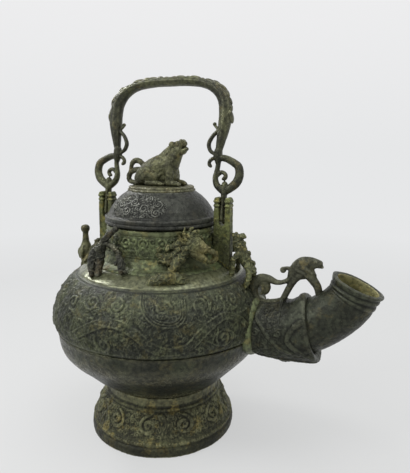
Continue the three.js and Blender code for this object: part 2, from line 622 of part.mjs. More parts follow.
// Scroll end: outer loop, inner stem, curl and hook, the node above and the tang below them
const tangTop = LUG_RISE + 4.5;
const archEnvelope = archBar(SEAT_GAP);
function makeBailScroll(side) {
  const width = lugReach + SCROLL_REACH - nodeX;
  const height = NODE_RISE - tangTop;
  const scale = height / 34.5;
  const at = (across, up) => v3(side * (nodeX + across * width), 0, tangTop + up * height);
  const draw = figure(at, scale);
  const half = SCROLL_DEPTH / scale / 2;
  const tang = (lugReach - nodeX) / width;
  const loop = [
    [0, 0.942], [0.348, 0.928], [0.696, 0.826], [0.939, 0.703], [1, 0.471], [0.887, 0.268],
    [0.652, 0.123], [tang, 0],
  ];
  const stem = [
    [0, 1], [0.043, 0.768], [0, 0.565], [-0.043, 0.384], [0.026, 0.21], [0.2, 0.094], [tang, 0],
  ];
  const [short, medium] = [{ steps: 3 }, { steps: 7 }];
  const whole = join(
    draw.bar(loop, [[3, half], [3.8, half], [4.4, half], [4.4, half], [3.6, half]], { steps: 8 }),
    draw.bar(stem, [[2.2, 3], [2.3, 3], [2.8, half], [3.4, half], [3.4, half]], medium),
    draw.bar(
      [[0, 0.442], [0.209, 0.546], [0.383, 0.5], [0.409, 0.401]], [[2.4, 3], [2, 3], [1.8, 2.8]], short,
    ),
    draw.ball([0.409, 0.395], 2.7),
    draw.bar(
      [[0.043, 0.913], [-0.2, 0.913], [-0.348, 0.826], [-0.348, 0.739]],
      [[2, 3], [1.8, 3], [1.6, 2.6]], short,
    ),
    draw.ball([-0.348, 0.733], 2.3),
    draw.bar(
      [[0.017, 1.159], [0, 1], [0.026, 0.826]], [[4.8, 5.6], [5.4, 6], [3, 4]], { steps: 3, sides: 8 },
    ),
    bar(
      [v3(side * lugReach, 0, tangTop - 3), v3(side * lugReach, 0, tangTop + 6)],
      [[3, LUG_THICKNESS / 2], [4.8, 4.4], [3, SCROLL_DEPTH / 2]], short,
    ),
    makeTang(side),
  );
  return cut(whole, pinHole(side * lugReach, 0, SLOT_WIDTH), archEnvelope);
}
// The tang is a flat blade with a round end, as thick as the slot allows
function makeTang(side) {
  const halfThickness = SLOT_WIDTH / 2 - RUNNING_GAP;
  const halfWidth = LUG_THICKNESS / 2;
  const outline = new THREE.Shape();
  outline.absarc(0, 0, halfWidth, Math.PI, 2 * Math.PI, false);
  outline.lineTo(halfWidth, tangTop);
  outline.lineTo(-halfWidth, tangTop);
  const blade = new THREE.ExtrudeGeometry(outline, {
    depth: 2 * halfThickness, bevelEnabled: false, curveSegments: 8,
  });
  blade.rotateX(Math.PI / 2).rotateZ(Math.PI / 2).translate(side * lugReach - halfThickness, 0, 0);
  return solid(blade);
}

// Horn spout: oval sections along a rising curve, open from the pot's wall to the mouth
function oval(at, along, halfHeight, halfWidth, sides = 18) {
  const upright = new THREE.Vector3().crossVectors(along, ACROSS).negate();
  return Array.from({ length: sides }, (_, s) => {
    const turn = (s / sides) * 2 * Math.PI;
    const out = at.clone().addScaledVector(upright, halfHeight * Math.cos(turn));
    return out.addScaledVector(ACROSS, halfWidth * Math.sin(turn));
  });
}
const rootHeight = bellyHeight - HORN_ROOT_DROP;
const hornCentre = new THREE.CatmullRomCurve3([
  [-0.316, 0], [-0.035, 0], [0.246, 0.02], [0.526, 0.136], [0.76, 0.401], [0.924, 0.701], [1, 1],
].map(([reach, rise]) => v3(BELLY_RADIUS + reach * HORN_REACH, 0, rootHeight + rise * HORN_RISE)));
const hornSize = new THREE.SplineCurve([
  [0.955, 1.19], [0.955, 1.19], [1.02, 1.2], [1.07, 1.19], [1.01, 1.11], [0.965, 1.03], [1, 1],
].map(([height, width]) => v2(height * HORN_HALF_HEIGHT, width * HORN_HALF_WIDTH)));
const HORN_STEPS = 10;
function hornSkin(growth, { past = 0, lip = 0 } = {}) {
  const rings = [];
  for (let i = 0; i <= HORN_STEPS; i++) {
    const t = i / HORN_STEPS;
    const size = hornSize.getPoint(t);
    const rolled = growth + (i === HORN_STEPS ? lip : 0);
    rings.push(oval(hornCentre.getPoint(t), hornCentre.getTangent(t), size.x + rolled, size.y + rolled));
  }
  if (past > 0) {
    const along = hornCentre.getTangent(1);
    const size = hornSize.getPoint(1);
    const beyond = hornCentre.getPoint(1).addScaledVector(along, past);
    rings.push(oval(beyond, along, size.x + growth, size.y + growth));
  }
  return loft(rings);
}
const hornBore = hornSkin(-HORN_WALL, { past: 4 });
const hornEnvelope = hornSkin(SEAT_GAP);
const makeHorn = () => cut(hornSkin(0, { lip: 0.8 }), hornBore, potEnvelope);

// Sleeve: the beast's muzzle that grips the horn's root, deepest at its lower jaw. Each
// section gives its place along the sleeve and how far it drops below the horn's root and
// stands over it, and how far it stands out sideways, all past the horn's own section there.
const sleeveRoot = BELLY_RADIUS - 37;
const sleeveFront = BELLY_RADIUS + SLEEVE_LENGTH;
const sleeveSections = [
  [0, -0.2, 0, 1.1], [0.36, -0.2, 0, 1.1], [0.56, -1.4, 1.4, 1.4], [0.72, -0.4, 3.4, 1.2],
  [0.87, 2.2, 5.2, 1], [1, 5, 5.6, 0.2],
];
const sleeveSkin = (growth) => loft(sleeveSections.map(([share, rise, deeper, wider]) => {
  const at = v3(THREE.MathUtils.lerp(sleeveRoot, sleeveFront, share), 0, rootHeight + rise);
  const halfHeight = HORN_HALF_HEIGHT - 1 + SLEEVE_WALL + deeper + growth;
  const halfWidth = HORN_HALF_WIDTH + 3.8 + SLEEVE_WALL + wider + growth;
  return oval(at, v3(1, 0, 0), halfHeight, halfWidth);
}));
const sleeveEnvelope = sleeveSkin(SEAT_GAP);
const makeSleeve = () => cut(sleeveSkin(0), hornEnvelope, potEnvelope);

// Flange: the raised collar where the sleeve meets the pot
function flangeSkin(growth) {
  const halfHeight = HORN_HALF_HEIGHT + SLEEVE_WALL + FLANGE_STANDOUT - 1 + growth;
  const halfWidth = HORN_HALF_WIDTH + 3.8 + SLEEVE_WALL + FLANGE_STANDOUT + 3 + growth;
  const collar = (x, inset) => oval(
    v3(x, 0, rootHeight), v3(1, 0, 0), halfHeight - inset, halfWidth - inset,
  );
  const face = BELLY_RADIUS - FLANGE_WIDTH + growth;
  const bevel = FLANGE_STANDOUT * 0.7;
  return loft([collar(sleeveRoot, 0), collar(face, 0), collar(face + FLANGE_STANDOUT, bevel)]);
}
const flangeEnvelope = flangeSkin(SEAT_GAP);
const makeFlange = () => cut(flangeSkin(0), sleeveEnvelope, potEnvelope);

// Crest on the spout: a long-legged bird form whose tail runs back into a leaf scroll
function makeCrest() {
  const scale = CREST_HEIGHT / 42;
  const foot = rootHeight + HORN_HALF_HEIGHT + SLEEVE_WALL;
  const draw = figure((x, z) => v3(BELLY_RADIUS + x * scale, 0, foot + z * scale), scale);
  const half = CREST_DEPTH / scale / 2;
  const body = [[26, 23.8], [29.5, 31.8], [36, 38.2], [44, 40.4], [51.5, 40.6]];
  const foreLeg = [[41, 31.8], [46, 24.8], [51, 17.3], [53.6, 3.8]];
  const hindLeg = [[39, 29.8], [32, 26.2], [26, 16.8], [17, -4.2]];
  const neck = [[29, 28.3], [24.6, 32.8], [19.4, 32.4]];
  const tail = [[27, 24.8], [21, 20.2], [13.5, 18.4], [5, 20.8], [-3, 19.8], [-8.6, 13.8]];
  const scroll = [[-7, 17.8], [-9.4, 8.8], [-6, 0.2], [2, -2.8], [12, -0.8], [19, 1.8]];
  const parts = [
    draw.bar(body, [[4, half], [6, half], [6.6, half], [5.2, half], [3, 3]]),
    draw.bar([[34, 36.8], [41, 31.8], [45, 27.8]], [[6, half], [6.6, half], [5, half]], { steps: 2 }),
    draw.bar(foreLeg, [[5.6, half], [4, half], [3, 3.4], [3, 3.4]], { steps: 4 }),
    draw.bar(hindLeg, [[5.4, half], [3.8, half], [2.8, 3.4], [3, 3.4]], { steps: 4 }),
    draw.bar(neck, [[2.6, 3], [1.8, 2.6], [1.8, 2.6]], { steps: 3 }),
    draw.ball([19, 30.6], 3),
    draw.bar(
      tail, [[2.6, half], [2.4, half], [2.6, half], [4, half], [5.4, half], [5, half]], { steps: 7 },
    ),
    draw.bar(
      scroll, [[5.4, half], [4.6, half], [4, half], [3.4, half], [3, half]], { steps: 7 },
    ),
    draw.bar([[-1, 18.8], [3.4, 13.4], [0.6, 7.2]], [[5, half], [4.2, 3.6], [2.6, 3]], { steps: 3 }),
  ];
  return cut(join(...parts), hornEnvelope, sleeveEnvelope, flangeEnvelope, potEnvelope);
}

// A climbing beast: its tail lies along the shoulder, its body leans on the neck's foot ring
// and its head comes up beside a lug. Turns are degrees from the lug's own side. A point with
// no height of its own is just under the shell.
const FOOT_SINK = 2;
const underFoot = (radius) => shellHeight(radius) - FOOT_SINK;
function makeClimber(sideX, sideY, rumpTurn, headTurn) {
  const scale = CLIMBER_HEIGHT / 52;
  const draw = figure((share, out, rise) => {
    const turn = THREE.MathUtils.lerp(rumpTurn, headTurn, share);
    const radius = NECK_RADIUS + out * scale;
    const p = around(turn, radius, rise === undefined ? underFoot(radius) : mouthHeight + rise * scale);
    return v3(sideX * p.x, sideY * p.y, p.z);
  }, scale);
  const [short, flat] = [{ steps: 2 }, { side: UP }];
  const spine = [[0, 27], [0.18, 22, -5], [0.42, 15.5, 3.5], [0.7, 10, 13], [0.9, 8, 22], [1, 7.4, 28]];
  const parts = [
    draw.bar(spine, [[2.2], [3.4], [7], [8], [7], [5.8]], { ...flat, steps: 6 }),
    draw.ball([1, 8, 27], 7),
    draw.bar([[1, 8.4, 26], [1.14, 9.4, 22], [1.22, 10, 18.6]], [[5], [4.2], [2.8]], { ...flat, steps: 2 }),
    draw.bar([[0.96, 8, 30], [0.9, 7.6, 34.4], [0.9, 7, 37.6]], [[3.8], [3], [1.6]], short),
    draw.bar([[0.4, 19, 3], [0.36, 26, -4], [0.3, 28]], [[4.6], [3.2], [3]], short),
    draw.bar([[0.78, 12, 14], [0.86, 18, 3], [0.82, 20]], [[4.8], [3.2], [3]], short),
  ];
  return cut(join(...parts), potEnvelope, neckEnvelope, lidSweep);
}

// A beast that stands against the outer face of a lug: body, four legs and, where the head is
// turned out, a knob at the muzzle. Its points are measured out from the lug and up from the
// shell under them.
function standingBeast(side, scale, { spine, sizes, legs, muzzle }) {
  const face = lugReach + LUG_WIDTH / 2;
  const draw = figure((out, across, rise) => {
    const reach = face + out * scale;
    const radius = Math.hypot(reach, across * scale);
    const height = rise === undefined ? underFoot(radius) : shellHeight(radius) + rise * scale;
    return v3(side * reach, across * scale, height);
  }, scale);
  const parts = [draw.bar(spine, sizes)];
  for (const across of [-1, 1]) {
    for (const leg of legs) {
      const placed = leg.map(([x, y, rise]) => [x, across * y, rise]);
      parts.push(draw.bar(placed, [[4], [3], [2.8]], { steps: 2 }));
    }
  }
  if (muzzle) {
    parts.push(draw.bar(muzzle, [[3.4], [2.6], [2.4]], { steps: 2 }), draw.ball(muzzle.at(-1), 3.4));
  }
  return cut(join(...parts), potEnvelope, neckEnvelope, lugBlock(side), flangeEnvelope, sleeveEnvelope);
}
const makeSpoutSideBeast = () => standingBeast(1, SPOUT_BEAST_HEIGHT / 54, {
  spine: [[24, 0, 17.3], [19, 0, 17.7], [14.6, 0, 21.8], [10.4, 0, 27.6], [7.4, 0, 34.6]],
  sizes: [[2.4], [4.8], [6.2], [5.8], [4.6]],
  legs: [
    [[12.6, 3, 25.2], [6.6, 8, 15.4], [4.6, 9]],
    [[18.6, 3, 19.4], [22.6, 7, 14.9], [19.6, 9]],
  ],
  muzzle: [[7.6, 0, 32.7], [10.6, 0, 39.1], [13, 0, 40.9]],
});
const makeTailSideBeast = () => cut(standingBeast(-1, TAIL_BEAST_HEIGHT / 31, {
  spine: [[17, 0, 4.8], [14, 0, 7.3], [9.6, 0, 8], [5, 0, 10.1], [3.6, 0, 15.3]],
  sizes: [[4], [6], [6.8], [6.4], [4.8]],
  legs: [
    [[4.6, 4, 7], [7.6, 9, 3], [6.6, 11]],
    [[14.6, 4, 6.8], [18.6, 9, 3.8], [17.6, 11]],
  ],
}), tailEnvelope);

// Baluster tail: a turned stem with a bulb, a waist and a knob, between two leaves
function tailSkin(growth) {
  const reach = -(lugReach + LUG_WIDTH / 2 + TAIL_STAND);
  const top = mouthHeight + TAIL_RISE;
  const outline = [
    [0.76, 0], [0.76, 0.15], [1, 0.32], [0.89, 0.47], [0.51, 0.62], [0.42, 0.81], [0.62, 0.872],
    [0.65, 0.936], [0.35, 0.992],
  ].map(([radius, rise]) => v2(radius * TAIL_RADIUS + growth, top - (1 - rise) * TAIL_HEIGHT));
  const closed = [v2(0, outline[0].y), ...outline, v2(0, top + growth)];
  const stem = new THREE.LatheGeometry(closed, 10).rotateX(Math.PI / 2).translate(reach, 0, 0);
  const leaves = [-1, 1].map((side) => {
    const at = (out, rise) => v3(reach + side * out * TAIL_RADIUS, 0, top - (1 - rise) * TAIL_HEIGHT);
    return bar(
      [at(0.68, 0.49), at(1.08, 0.36), at(1.08, 0.21)], [[2], [3], [2]], { steps: 3, growth },
    );
  });
  return join(solid(stem), ...leaves);
}
const tailEnvelope = tailSkin(SEAT_GAP);
const makeTail = () => cut(tailSkin(0), potEnvelope);

const kettle = new THREE.Group();
kettle.add(
  piece('foot', makeFoot(), footBronze),
  piece('lower_bowl', cut(makeLowerBowl(), hornBore), bodyBronze),
  piece('upper_shell', cut(makeUpperShell(), hornBore), bodyBronze),
  piece('neck_collar', makeNeckCollar(), neckBronze),
  piece('lid_dome', makeLidDome(), lidBronze),
  piece('lid_plinth', makeLidPlinth(), lidBronze),
  piece('lid_beast', makeLidBeast(), beastBronze),
  piece('spout_horn', makeHorn(), spoutBronze),
  piece('spout_sleeve', makeSleeve(), spoutBronze),
  piece('spout_flange', makeFlange(), neckBronze),
  piece('spout_crest', makeCrest(), spoutBronze),
  piece('spout_side_beast', makeSpoutSideBeast(), beastBronze),
  piece('tail_side_beast', makeTailSideBeast(), beastBronze),
  piece('tail_baluster', makeTail(), beastBronze),
);

const bail = new THREE.Group();
bail.position.z = pinHeight;
bail.rotation.x = -THREE.MathUtils.degToRad(BAIL_LEAN);
bail.add(piece('bail_arch', makeBailArch(), bailBronze));
kettle.add(bail);

// Each lug has its pin and its scroll end, and a climbing beast before and behind it
const sides = [
  { name: 'left', side: -1, rumpTurn: 77, headTurn: 63 },
  { name: 'right', side: 1, rumpTurn: 76, headTurn: 34 },
];
for (const { name, side, rumpTurn, headTurn } of sides) {
  bail.add(piece(`bail_scroll_${name}`, makeBailScroll(side), bailBronze));
  kettle.add(
    piece(`lug_${name}`, makeLug(side), neckBronze),
    piece(`pivot_pin_${name}`, makePin(side), bailBronze),
    piece(`climber_${name}_front`, makeClimber(side, -1, rumpTurn, headTurn), beastBronze),
    piece(`climber_${name}_back`, makeClimber(side, 1, rumpTurn, headTurn), beastBronze),
  );
}

// The origin is under the middle of the whole kettle's length, on the surface it stands on
const extent = new THREE.Box3().setFromObject(kettle);
kettle.position.x = -(extent.min.x + extent.max.x) / 2;

export default kettle;
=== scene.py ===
import math

import bpy
import numpy as np
from mathutils import Euler, Matrix, Vector, noise


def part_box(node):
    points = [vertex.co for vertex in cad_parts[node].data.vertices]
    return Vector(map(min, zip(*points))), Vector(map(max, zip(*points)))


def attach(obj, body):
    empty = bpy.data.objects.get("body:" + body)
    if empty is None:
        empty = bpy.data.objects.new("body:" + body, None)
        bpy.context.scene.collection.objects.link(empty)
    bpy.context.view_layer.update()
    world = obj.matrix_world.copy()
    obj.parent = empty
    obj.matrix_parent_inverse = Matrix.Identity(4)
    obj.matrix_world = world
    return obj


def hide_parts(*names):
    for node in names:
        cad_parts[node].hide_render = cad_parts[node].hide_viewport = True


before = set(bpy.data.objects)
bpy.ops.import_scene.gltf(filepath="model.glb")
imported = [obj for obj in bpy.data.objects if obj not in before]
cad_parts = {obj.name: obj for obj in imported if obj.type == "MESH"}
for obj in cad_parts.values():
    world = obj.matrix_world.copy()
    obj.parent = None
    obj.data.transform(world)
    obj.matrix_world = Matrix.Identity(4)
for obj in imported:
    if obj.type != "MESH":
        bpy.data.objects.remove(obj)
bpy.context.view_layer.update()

# Foot: a hollow bronze cone, cast in one with its plain rim, and brazed under the bowl.
# Loose scrolls are carved round it between the band of beads and the moulding.

# Points are written in millimetres about the pot's own axis
POT_AXIS = (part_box("lower_bowl")[0].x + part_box("lower_bowl")[1].x) / 2


def eased(outline, radius):
    """An outline whose corners are rounded off, each by at most this radius."""
    outline = np.asarray(outline, float)
    points = [outline[0]]
    for before, corner, after in zip(outline, outline[1:], outline[2:]):
        back, on = before - corner, after - corner
        reach = min(radius, np.hypot(*back) * 0.45, np.hypot(*on) * 0.45)
        start = corner + back / np.hypot(*back) * reach
        end = corner + on / np.hypot(*on) * reach
        for t in (0, 0.33, 0.67, 1):
            points.append((1 - t) ** 2 * start + 2 * t * (1 - t) * corner + t * t * end)
    return np.array(points + [outline[-1]])


def traced(outline, step):
    """The same outline with a point at least every step along it."""
    points = []
    for a, b in zip(outline, outline[1:]):
        count = max(1, round(np.hypot(*(b - a)) / step))
        points += [a + (b - a) * k / count for k in range(count)]
    return np.array(points + [outline[-1]])


def arc_lengths(line):
    return np.r_[0, np.cumsum(np.linalg.norm(np.diff(line, axis=0), axis=1))]


def turns_of(steps):
    """The angles of this many steps round the pot, or round a bar."""
    return np.arange(steps) / steps * 2 * np.pi


FOOT_TURNS = 760
FOOT_MEAN = 65.0
foot_outside = np.array([
    (73.4, 0), (74.4, 1.2), (74.6, 4.4), (74.3, 8.0), (72.6, 9.4), (73.2, 12.2), (71.0, 15.6), (70.3, 17.0),
    (60.6, 37.6), (59.4, 38.6), (59.9, 40.0), (59.4, 41.2), (57.9, 42.2), (57.3, 47.0), (57.6, 51.4),
])
foot_inside = np.array([(54.4, 51.0), (54.2, 41.0), (66.6, 17.0), (67.3, 9.0), (67.4, 0)])
foot_skin = traced(eased(foot_outside, 0.9), 0.75)
foot_ring = np.r_[foot_skin, traced(eased(foot_inside, 1.0), 7)]
foot_up = arc_lengths(foot_skin)
foot_around = turns_of(FOOT_TURNS) * FOOT_MEAN


def catmull(points, count):
    """A smooth curve through all the points, at this many steps."""
    points = np.asarray(points, float)
    ends = np.r_[[2 * points[0] - points[1]], points, [2 * points[-1] - points[-2]]]
    at = np.linspace(0, len(points) - 1, count + 1)
    k = np.minimum(at.astype(int), len(points) - 2)
    t = (at - k)[:, None]
    a, b, c, d = (ends[k + j] for j in range(4))
    return 0.5 * (2 * b + (c - a) * t + (2 * a - 5 * b + 4 * c - d) * t ** 2
                  + (3 * b - a - 3 * c + d) * t ** 3)


def raise_strokes(field, around, up, strokes):
    """Carves rounded strokes proud of a band. around and up give the place of the field's
    columns and rows in millimetres; a stroke is its path, half widths, height and the depth
    of the furrow along its middle."""
    pitch = around[1] - around[0]
    for path, widths, rise, furrow in strokes:
        path = np.asarray(path, float)
        widths = np.broadcast_to(np.asarray(widths, float), len(path))
        low, high = path.min(0) - widths.max(), path.max(0) + widths.max()
        columns = np.arange(math.floor(low[0] / pitch), math.ceil(high[0] / pitch) + 1)
        rows = np.flatnonzero((up >= low[1]) & (up <= high[1]))
        if not len(rows):
            continue
        x, y = np.meshgrid(columns * pitch, up[rows])
        nearest = np.full(x.shape, 9.0)
        for a, b, wide_a, wide_b in zip(path, path[1:], widths, widths[1:]):
            run = b - a
            t = ((x - a[0]) * run[0] + (y - a[1]) * run[1]) / max(run @ run, 1e-9)
            t = np.clip(t, 0, 1)
            away = np.hypot(x - a[0] - t * run[0], y - a[1] - t * run[1])
            nearest = np.minimum(nearest, away / (wide_a + (wide_b - wide_a) * t))
        lift = rise * np.sqrt(np.clip(1 - nearest ** 2, 0, 1))
        lift *= 1 - furrow * np.exp(-(nearest / 0.32) ** 2)
        patch = np.ix_(rows, columns % len(around))
        field[patch] = np.maximum(field[patch], lift)


def curl(x, y, size, turns, start, hand, width, rise, furrow, tail):
    """A spiral stroke that winds in towards (x, y), with a tail that leads into it."""
    t = np.linspace(0, 1, int(12 * turns) + 5)
    angle = start + hand * turns * 2 * np.pi * t
    radius = size * (1 - 0.84 * t)
    path = np.c_[x + radius * np.cos(angle), y + radius * np.sin(angle)]
    widths = width * (0.55 + 0.45 * np.sin(np.pi * (0.2 + 0.8 * t)))
    way = np.array([np.sin(start), -np.cos(start)]) * hand
    lead = [path[0] + way * tail * s + (path[0] - (x, y)) * 0.22 * s * s for s in (1, 0.66, 0.33)]
    return np.r_[lead, path], np.r_[width * np.array([0.25, 0.5, 0.6]), widths], rise, furrow


def fill_with_scrolls(field, around, up, low, high, spacing, size, seed, rise, first=0.0):
    """Small scrolls and leaf strokes in the places that the main strokes left bare, from one
    place round the band to its end."""
    rng = np.random.default_rng(seed)
    pitch = around[1] - around[0]
    strokes = []
    for x in np.arange(first, pitch * len(around), spacing):
        for y in np.arange(low + spacing / 2, high, spacing):
            px, py = x + rng.uniform(-0.3, 0.3) * spacing, y + rng.uniform(-0.3, 0.3) * spacing
            start, hand, pick = rng.uniform(0, 6.28), rng.choice([-1, 1]), rng.random()
            scale = size * rng.uniform(0.75, 1.2)
            reach = scale * 0.8
            rows = np.flatnonzero(np.abs(up - py) < reach)
            columns = np.arange(int((px - reach) / pitch), int((px + reach) / pitch) + 1)
            taken = field[np.ix_(rows, columns % len(around))] > 0.25
            if taken.mean() > 0.42:
                continue
            if pick < 0.62:
                strokes.append(curl(px, py, scale, 1.3, start, hand, scale * 0.26, rise, 0.25, scale))
            else:
                bend = np.linspace(-1, 1, 7)
                path = np.c_[px + scale * np.cos(start) * bend - scale * 0.5 * np.sin(start) * bend ** 2,
                             py + scale * np.sin(start) * bend + scale * 0.5 * np.cos(start) * bend ** 2]
                strokes.append((path, scale * 0.3 * (1.1 - 0.8 * np.abs(bend)), rise * 0.9, 0.3))
    raise_strokes(field, around, up, strokes)


def wear_map(around, mean, up, places_round, rise):
    """How much a band's carving is worn, -1 to 1. places_round sets how many worn places go
    round it, and rise how tall one is."""
    turns, heights = np.meshgrid(around / mean, up)
    worn = [noise.noise(Vector((math.cos(a) * places_round, math.sin(a) * places_round, h / rise)))
            for a, h in zip(turns.ravel(), heights.ravel())]
    return np.array(worn).reshape(turns.shape)


def window(at, marks):
    """Rises from 0 to 1 between the first two marks, and falls between the last two."""
    return np.interp(at, marks, [0, 1, 1, 0])


FOOT_SCROLLS = 12
FOOT_BAND = (17.4, 37.4)
foot_low, foot_high = np.interp(FOOT_BAND, foot_skin[:, 1], foot_up)
foot_relief = np.zeros((len(foot_skin), FOOT_TURNS))
foot_strokes = []
for k in range(FOOT_SCROLLS):
    x = math.radians((k + 0.5) * 360 / FOOT_SCROLLS) * FOOT_MEAN
    y = (foot_low + foot_high) / 2
    start, hand = (1.9, 1) if k % 2 else (math.pi - 1.9, -1)
    # A stem with two leaves leans between each pair of scrolls
    stem, low_leaf, high_leaf = ([(x + out * hand, y + up) for out, up in path] for path in (
        [(12, -10.5), (14, -3), (18, 4), (21, 10.5)], [(15, -1), (20, -1.5), (23, -6)],
        [(17, 4), (12.4, 6), (10, 10)],
    ))
    foot_strokes += [
        curl(x, y, 8.6, 1.5, start, hand, 1.9, 1.6, 0.3, 9.0),
        curl(x, y, 3.4, 1.0, start + 2.4, -hand, 1.2, 1.2, 0.0, 2.0),
        (catmull(stem, 14), [1.5] * 8 + [1.9] * 7, 1.5, 0.35),
        (catmull(low_leaf, 8), np.linspace(1.0, 2.0, 9), 1.3, 0.4),
        (catmull(high_leaf, 8), np.linspace(1.0, 1.8, 9), 1.3, 0.4),
    ]
raise_strokes(foot_relief, foot_around, foot_up, foot_strokes)
foot_relief *= np.clip(1.05 + 1.3 * wear_map(foot_around, FOOT_MEAN, foot_up, 5, 11), 0.35, 1.5)
for spacing, size, seed, rise in ((5.2, 2.4, 11, 0.9), (3.2, 1.3, 12, 0.5)):
    fill_with_scrolls(foot_relief, foot_around, foot_up, foot_low, foot_high, spacing, size, seed, rise)
foot_relief *= window(foot_up, [foot_low, foot_low + 1, foot_high - 1, foot_high])[:, None]


def in_metres(points):
    return np.asarray(points, float) / 1000 + (POT_AXIS, 0, 0)


def in_scene(name, data):
    """An object for this mesh, light or camera, put in the scene."""
    obj = bpy.data.objects.new(name, data)
    bpy.context.scene.collection.objects.link(obj)
    return obj


def drawn(name, points, faces):
    """A smooth mesh object from points in millimetres about the pot's axis."""
    mesh = bpy.data.meshes.new(name)
    mesh.from_pydata(in_metres(points).tolist(), [], [list(face) for face in faces])
    mesh.shade_smooth()
    return in_scene(name, mesh)


def directions(line):
    """The way that a line of points runs, at each of them."""
    along = np.gradient(line, axis=0)
    return along / np.linalg.norm(along, axis=1)[:, None]


def woven(rows, sides):
    """The quads over rings of points, with the last ring joined to the first."""
    here = np.arange(rows * sides).reshape(rows, sides)
    beside = np.roll(here, -1, 1)
    return here, beside, np.stack([here, beside, np.roll(beside, -1, 0), np.roll(here, -1, 0)], -1)


def turned(outline, steps, relief=()):
    """A casting turned about the axis. The outline runs up the outside and down the inside;
    relief lifts its first points square to the outline, all the way round."""
    outline = np.asarray(outline, float)
    turn = turns_of(steps)
    solid = outline[0, 0] < 1e-6
    if solid:
        along = directions(outline)
    else:
        along = np.roll(outline, -1, 0) - np.roll(outline, 1, 0)
        along /= np.hypot(*along.T)[:, None]
    lift = np.zeros((len(outline), steps))
    if len(relief):
        lift[:len(relief)] = relief
    radius = outline[:, :1] + along[:, 1:] * lift
    height = outline[:, 1:] - along[:, :1] * lift
    points = np.stack([radius * np.cos(turn), radius * np.sin(turn), height + 0 * turn], -1)
    here, beside, faces = woven(len(outline), steps)
    if not solid:
        return points.reshape(-1, 3), faces.reshape(-1, 4)
    quads = faces[1:-2].reshape(-1, 4).tolist()
    fans = [[here[0, 0], b, a] for a, b in zip(beside[1], here[1])]
    fans += [[a, b, here[-1, 0]] for a, b in zip(here[-2], beside[-2])]
    return points.reshape(-1, 3), quads + fans


foot = drawn("cast_foot", *turned(foot_ring, FOOT_TURNS, foot_relief))


def in_millimetres(points):
    return points * 1000 - (POT_AXIS * 1000, 0, 0)


def unevenness(points, size, seed):
    """The slow waviness of a hand-finished casting, -1 to 1 at each point."""
    shift = Vector((seed * 7.3, seed * 3.1, seed * 5.7))
    return np.array([noise.noise(Vector(p) / size + shift) for p in points])


def neighbours_mean(mesh, values, rounds):
    """Evens out the values of a mesh's points with their neighbours', this many times."""
    count = len(mesh.vertices)
    edges = np.empty(len(mesh.edges) * 2, int)
    mesh.edges.foreach_get("vertices", edges)
    a, b = edges.reshape(-1, 2).T
    links = np.bincount(a, minlength=count) + np.bincount(b, minlength=count)
    links = np.maximum(links, 1)
    for _ in range(rounds):
        sums = [np.bincount(a, values[b, k], count) + np.bincount(b, values[a, k], count)
                for k in range(3)]
        values = 0.4 * values + 0.6 * np.stack(sums, -1) / links[:, None]
    return values


def of_points(mesh, what):
    """The place or the normal of each of a mesh's points, from "co" or "normal"."""
    values = np.empty(len(mesh.vertices) * 3)
    mesh.vertices.foreach_get(what, values)
    return values.reshape(-1, 3)


def reshape(mesh, points):
    mesh.vertices.foreach_set("co", points.ravel())
    mesh.update()


def paint(mesh, name, values):
    mesh.attributes.new(name, "FLOAT", "POINT").data.foreach_set("value", np.clip(values, -1, 1))


# How far apart the waves, scribbles and pits of a cast skin lie, in metres
WAVE_SPAN = 0.018
CURL_SPAN = 0.0042
PIT_SPAN = 0.0022


def pit_and_wear(obj, wave=0.0, pits=0.0, seed=1, depth=0.45, rounds=14, curls=0.0, pale_and_sheen=None,
                 carved=None, shade=None):
    """Gives a casting its uneven skin, then marks on each point how far it stands out of its
    surroundings, from -1 in a hollow to 1 on an edge, less any painted shade, and how pale it
    is painted, for rubbing by hands and for painted sheen and reflection. curls is the depth
    of shallow scribbled carving. The last three arguments work out, from points in millimetres
    about the pot's axis, the rubbing and painted sheen, where the scribble lies, and where
    painted shade keeps it dark."""
    mesh = obj.data
    points = of_points(mesh, "co")
    lift = np.zeros(len(points))
    if wave:
        lift += wave * unevenness(points, WAVE_SPAN, seed)
    if pits:
        lift += pits * unevenness(points, PIT_SPAN, seed + 3)
    spots = in_millimetres(points)
    if curls:
        lines = 1 - 5 * np.minimum(0.2, np.abs(unevenness(points, CURL_SPAN, seed + 5)))
        lift += curls * lines * (carved(spots) if carved else 1)
    points = points + of_points(mesh, "normal") * lift[:, None] / 1000
    reshape(mesh, points)
    apart = points - neighbours_mean(mesh, points, rounds)
    proud = (apart * of_points(mesh, "normal")).sum(1) * 1000 / depth
    # The painted shade is taken off the proud mark, so the hollows' dark colour covers it
    paint(mesh, "proud", proud - (shade(spots) if shade else 0))
    # The pale mark holds rubbing by hands, and painted sheen and reflection
    if pale_and_sheen:
        paint(mesh, "pale_and_sheen", pale_and_sheen(spots))


pit_and_wear(
    foot, wave=0.5, pits=0.3, seed=2, depth=0.36, curls=0.45,
    pale_and_sheen=lambda p: 0.35 * (p[:, 2] > 44),
    carved=lambda p: (p[:, 2] > 16) & (p[:, 2] < 38),
    # The foot's lowest band, up to the groove under the beads, is painted dark as shade
    shade=lambda p: np.interp(p[:, 2], [9, 10.4], [1.2, 0]),
)


def tint(hexadecimal):
    """A colour as it looks on a screen, turned into the light that a shader wants."""
    parts = [int(hexadecimal[k:k + 2], 16) / 255 for k in (0, 2, 4)]
    return tuple(p / 12.92 if p <= 0.04045 else ((p + 0.055) / 1.055) ** 2.4 for p in parts) + (1,)


def wired(tree, node, inputs):
    """Links each of a node's inputs to a socket, or sets it to a value."""
    for key, value in dict(inputs).items():
        if isinstance(value, bpy.types.NodeSocket):
            tree.links.new(value, node.inputs[key])
        else:
            node.inputs[key].default_value = value
    return node


def added(tree, kind, inputs=(), **settings):
    """A new node with these settings and inputs."""
    node = tree.nodes.new(kind)
    for setting, value in settings.items():
        setattr(node, setting, value)
    return wired(tree, node, inputs)


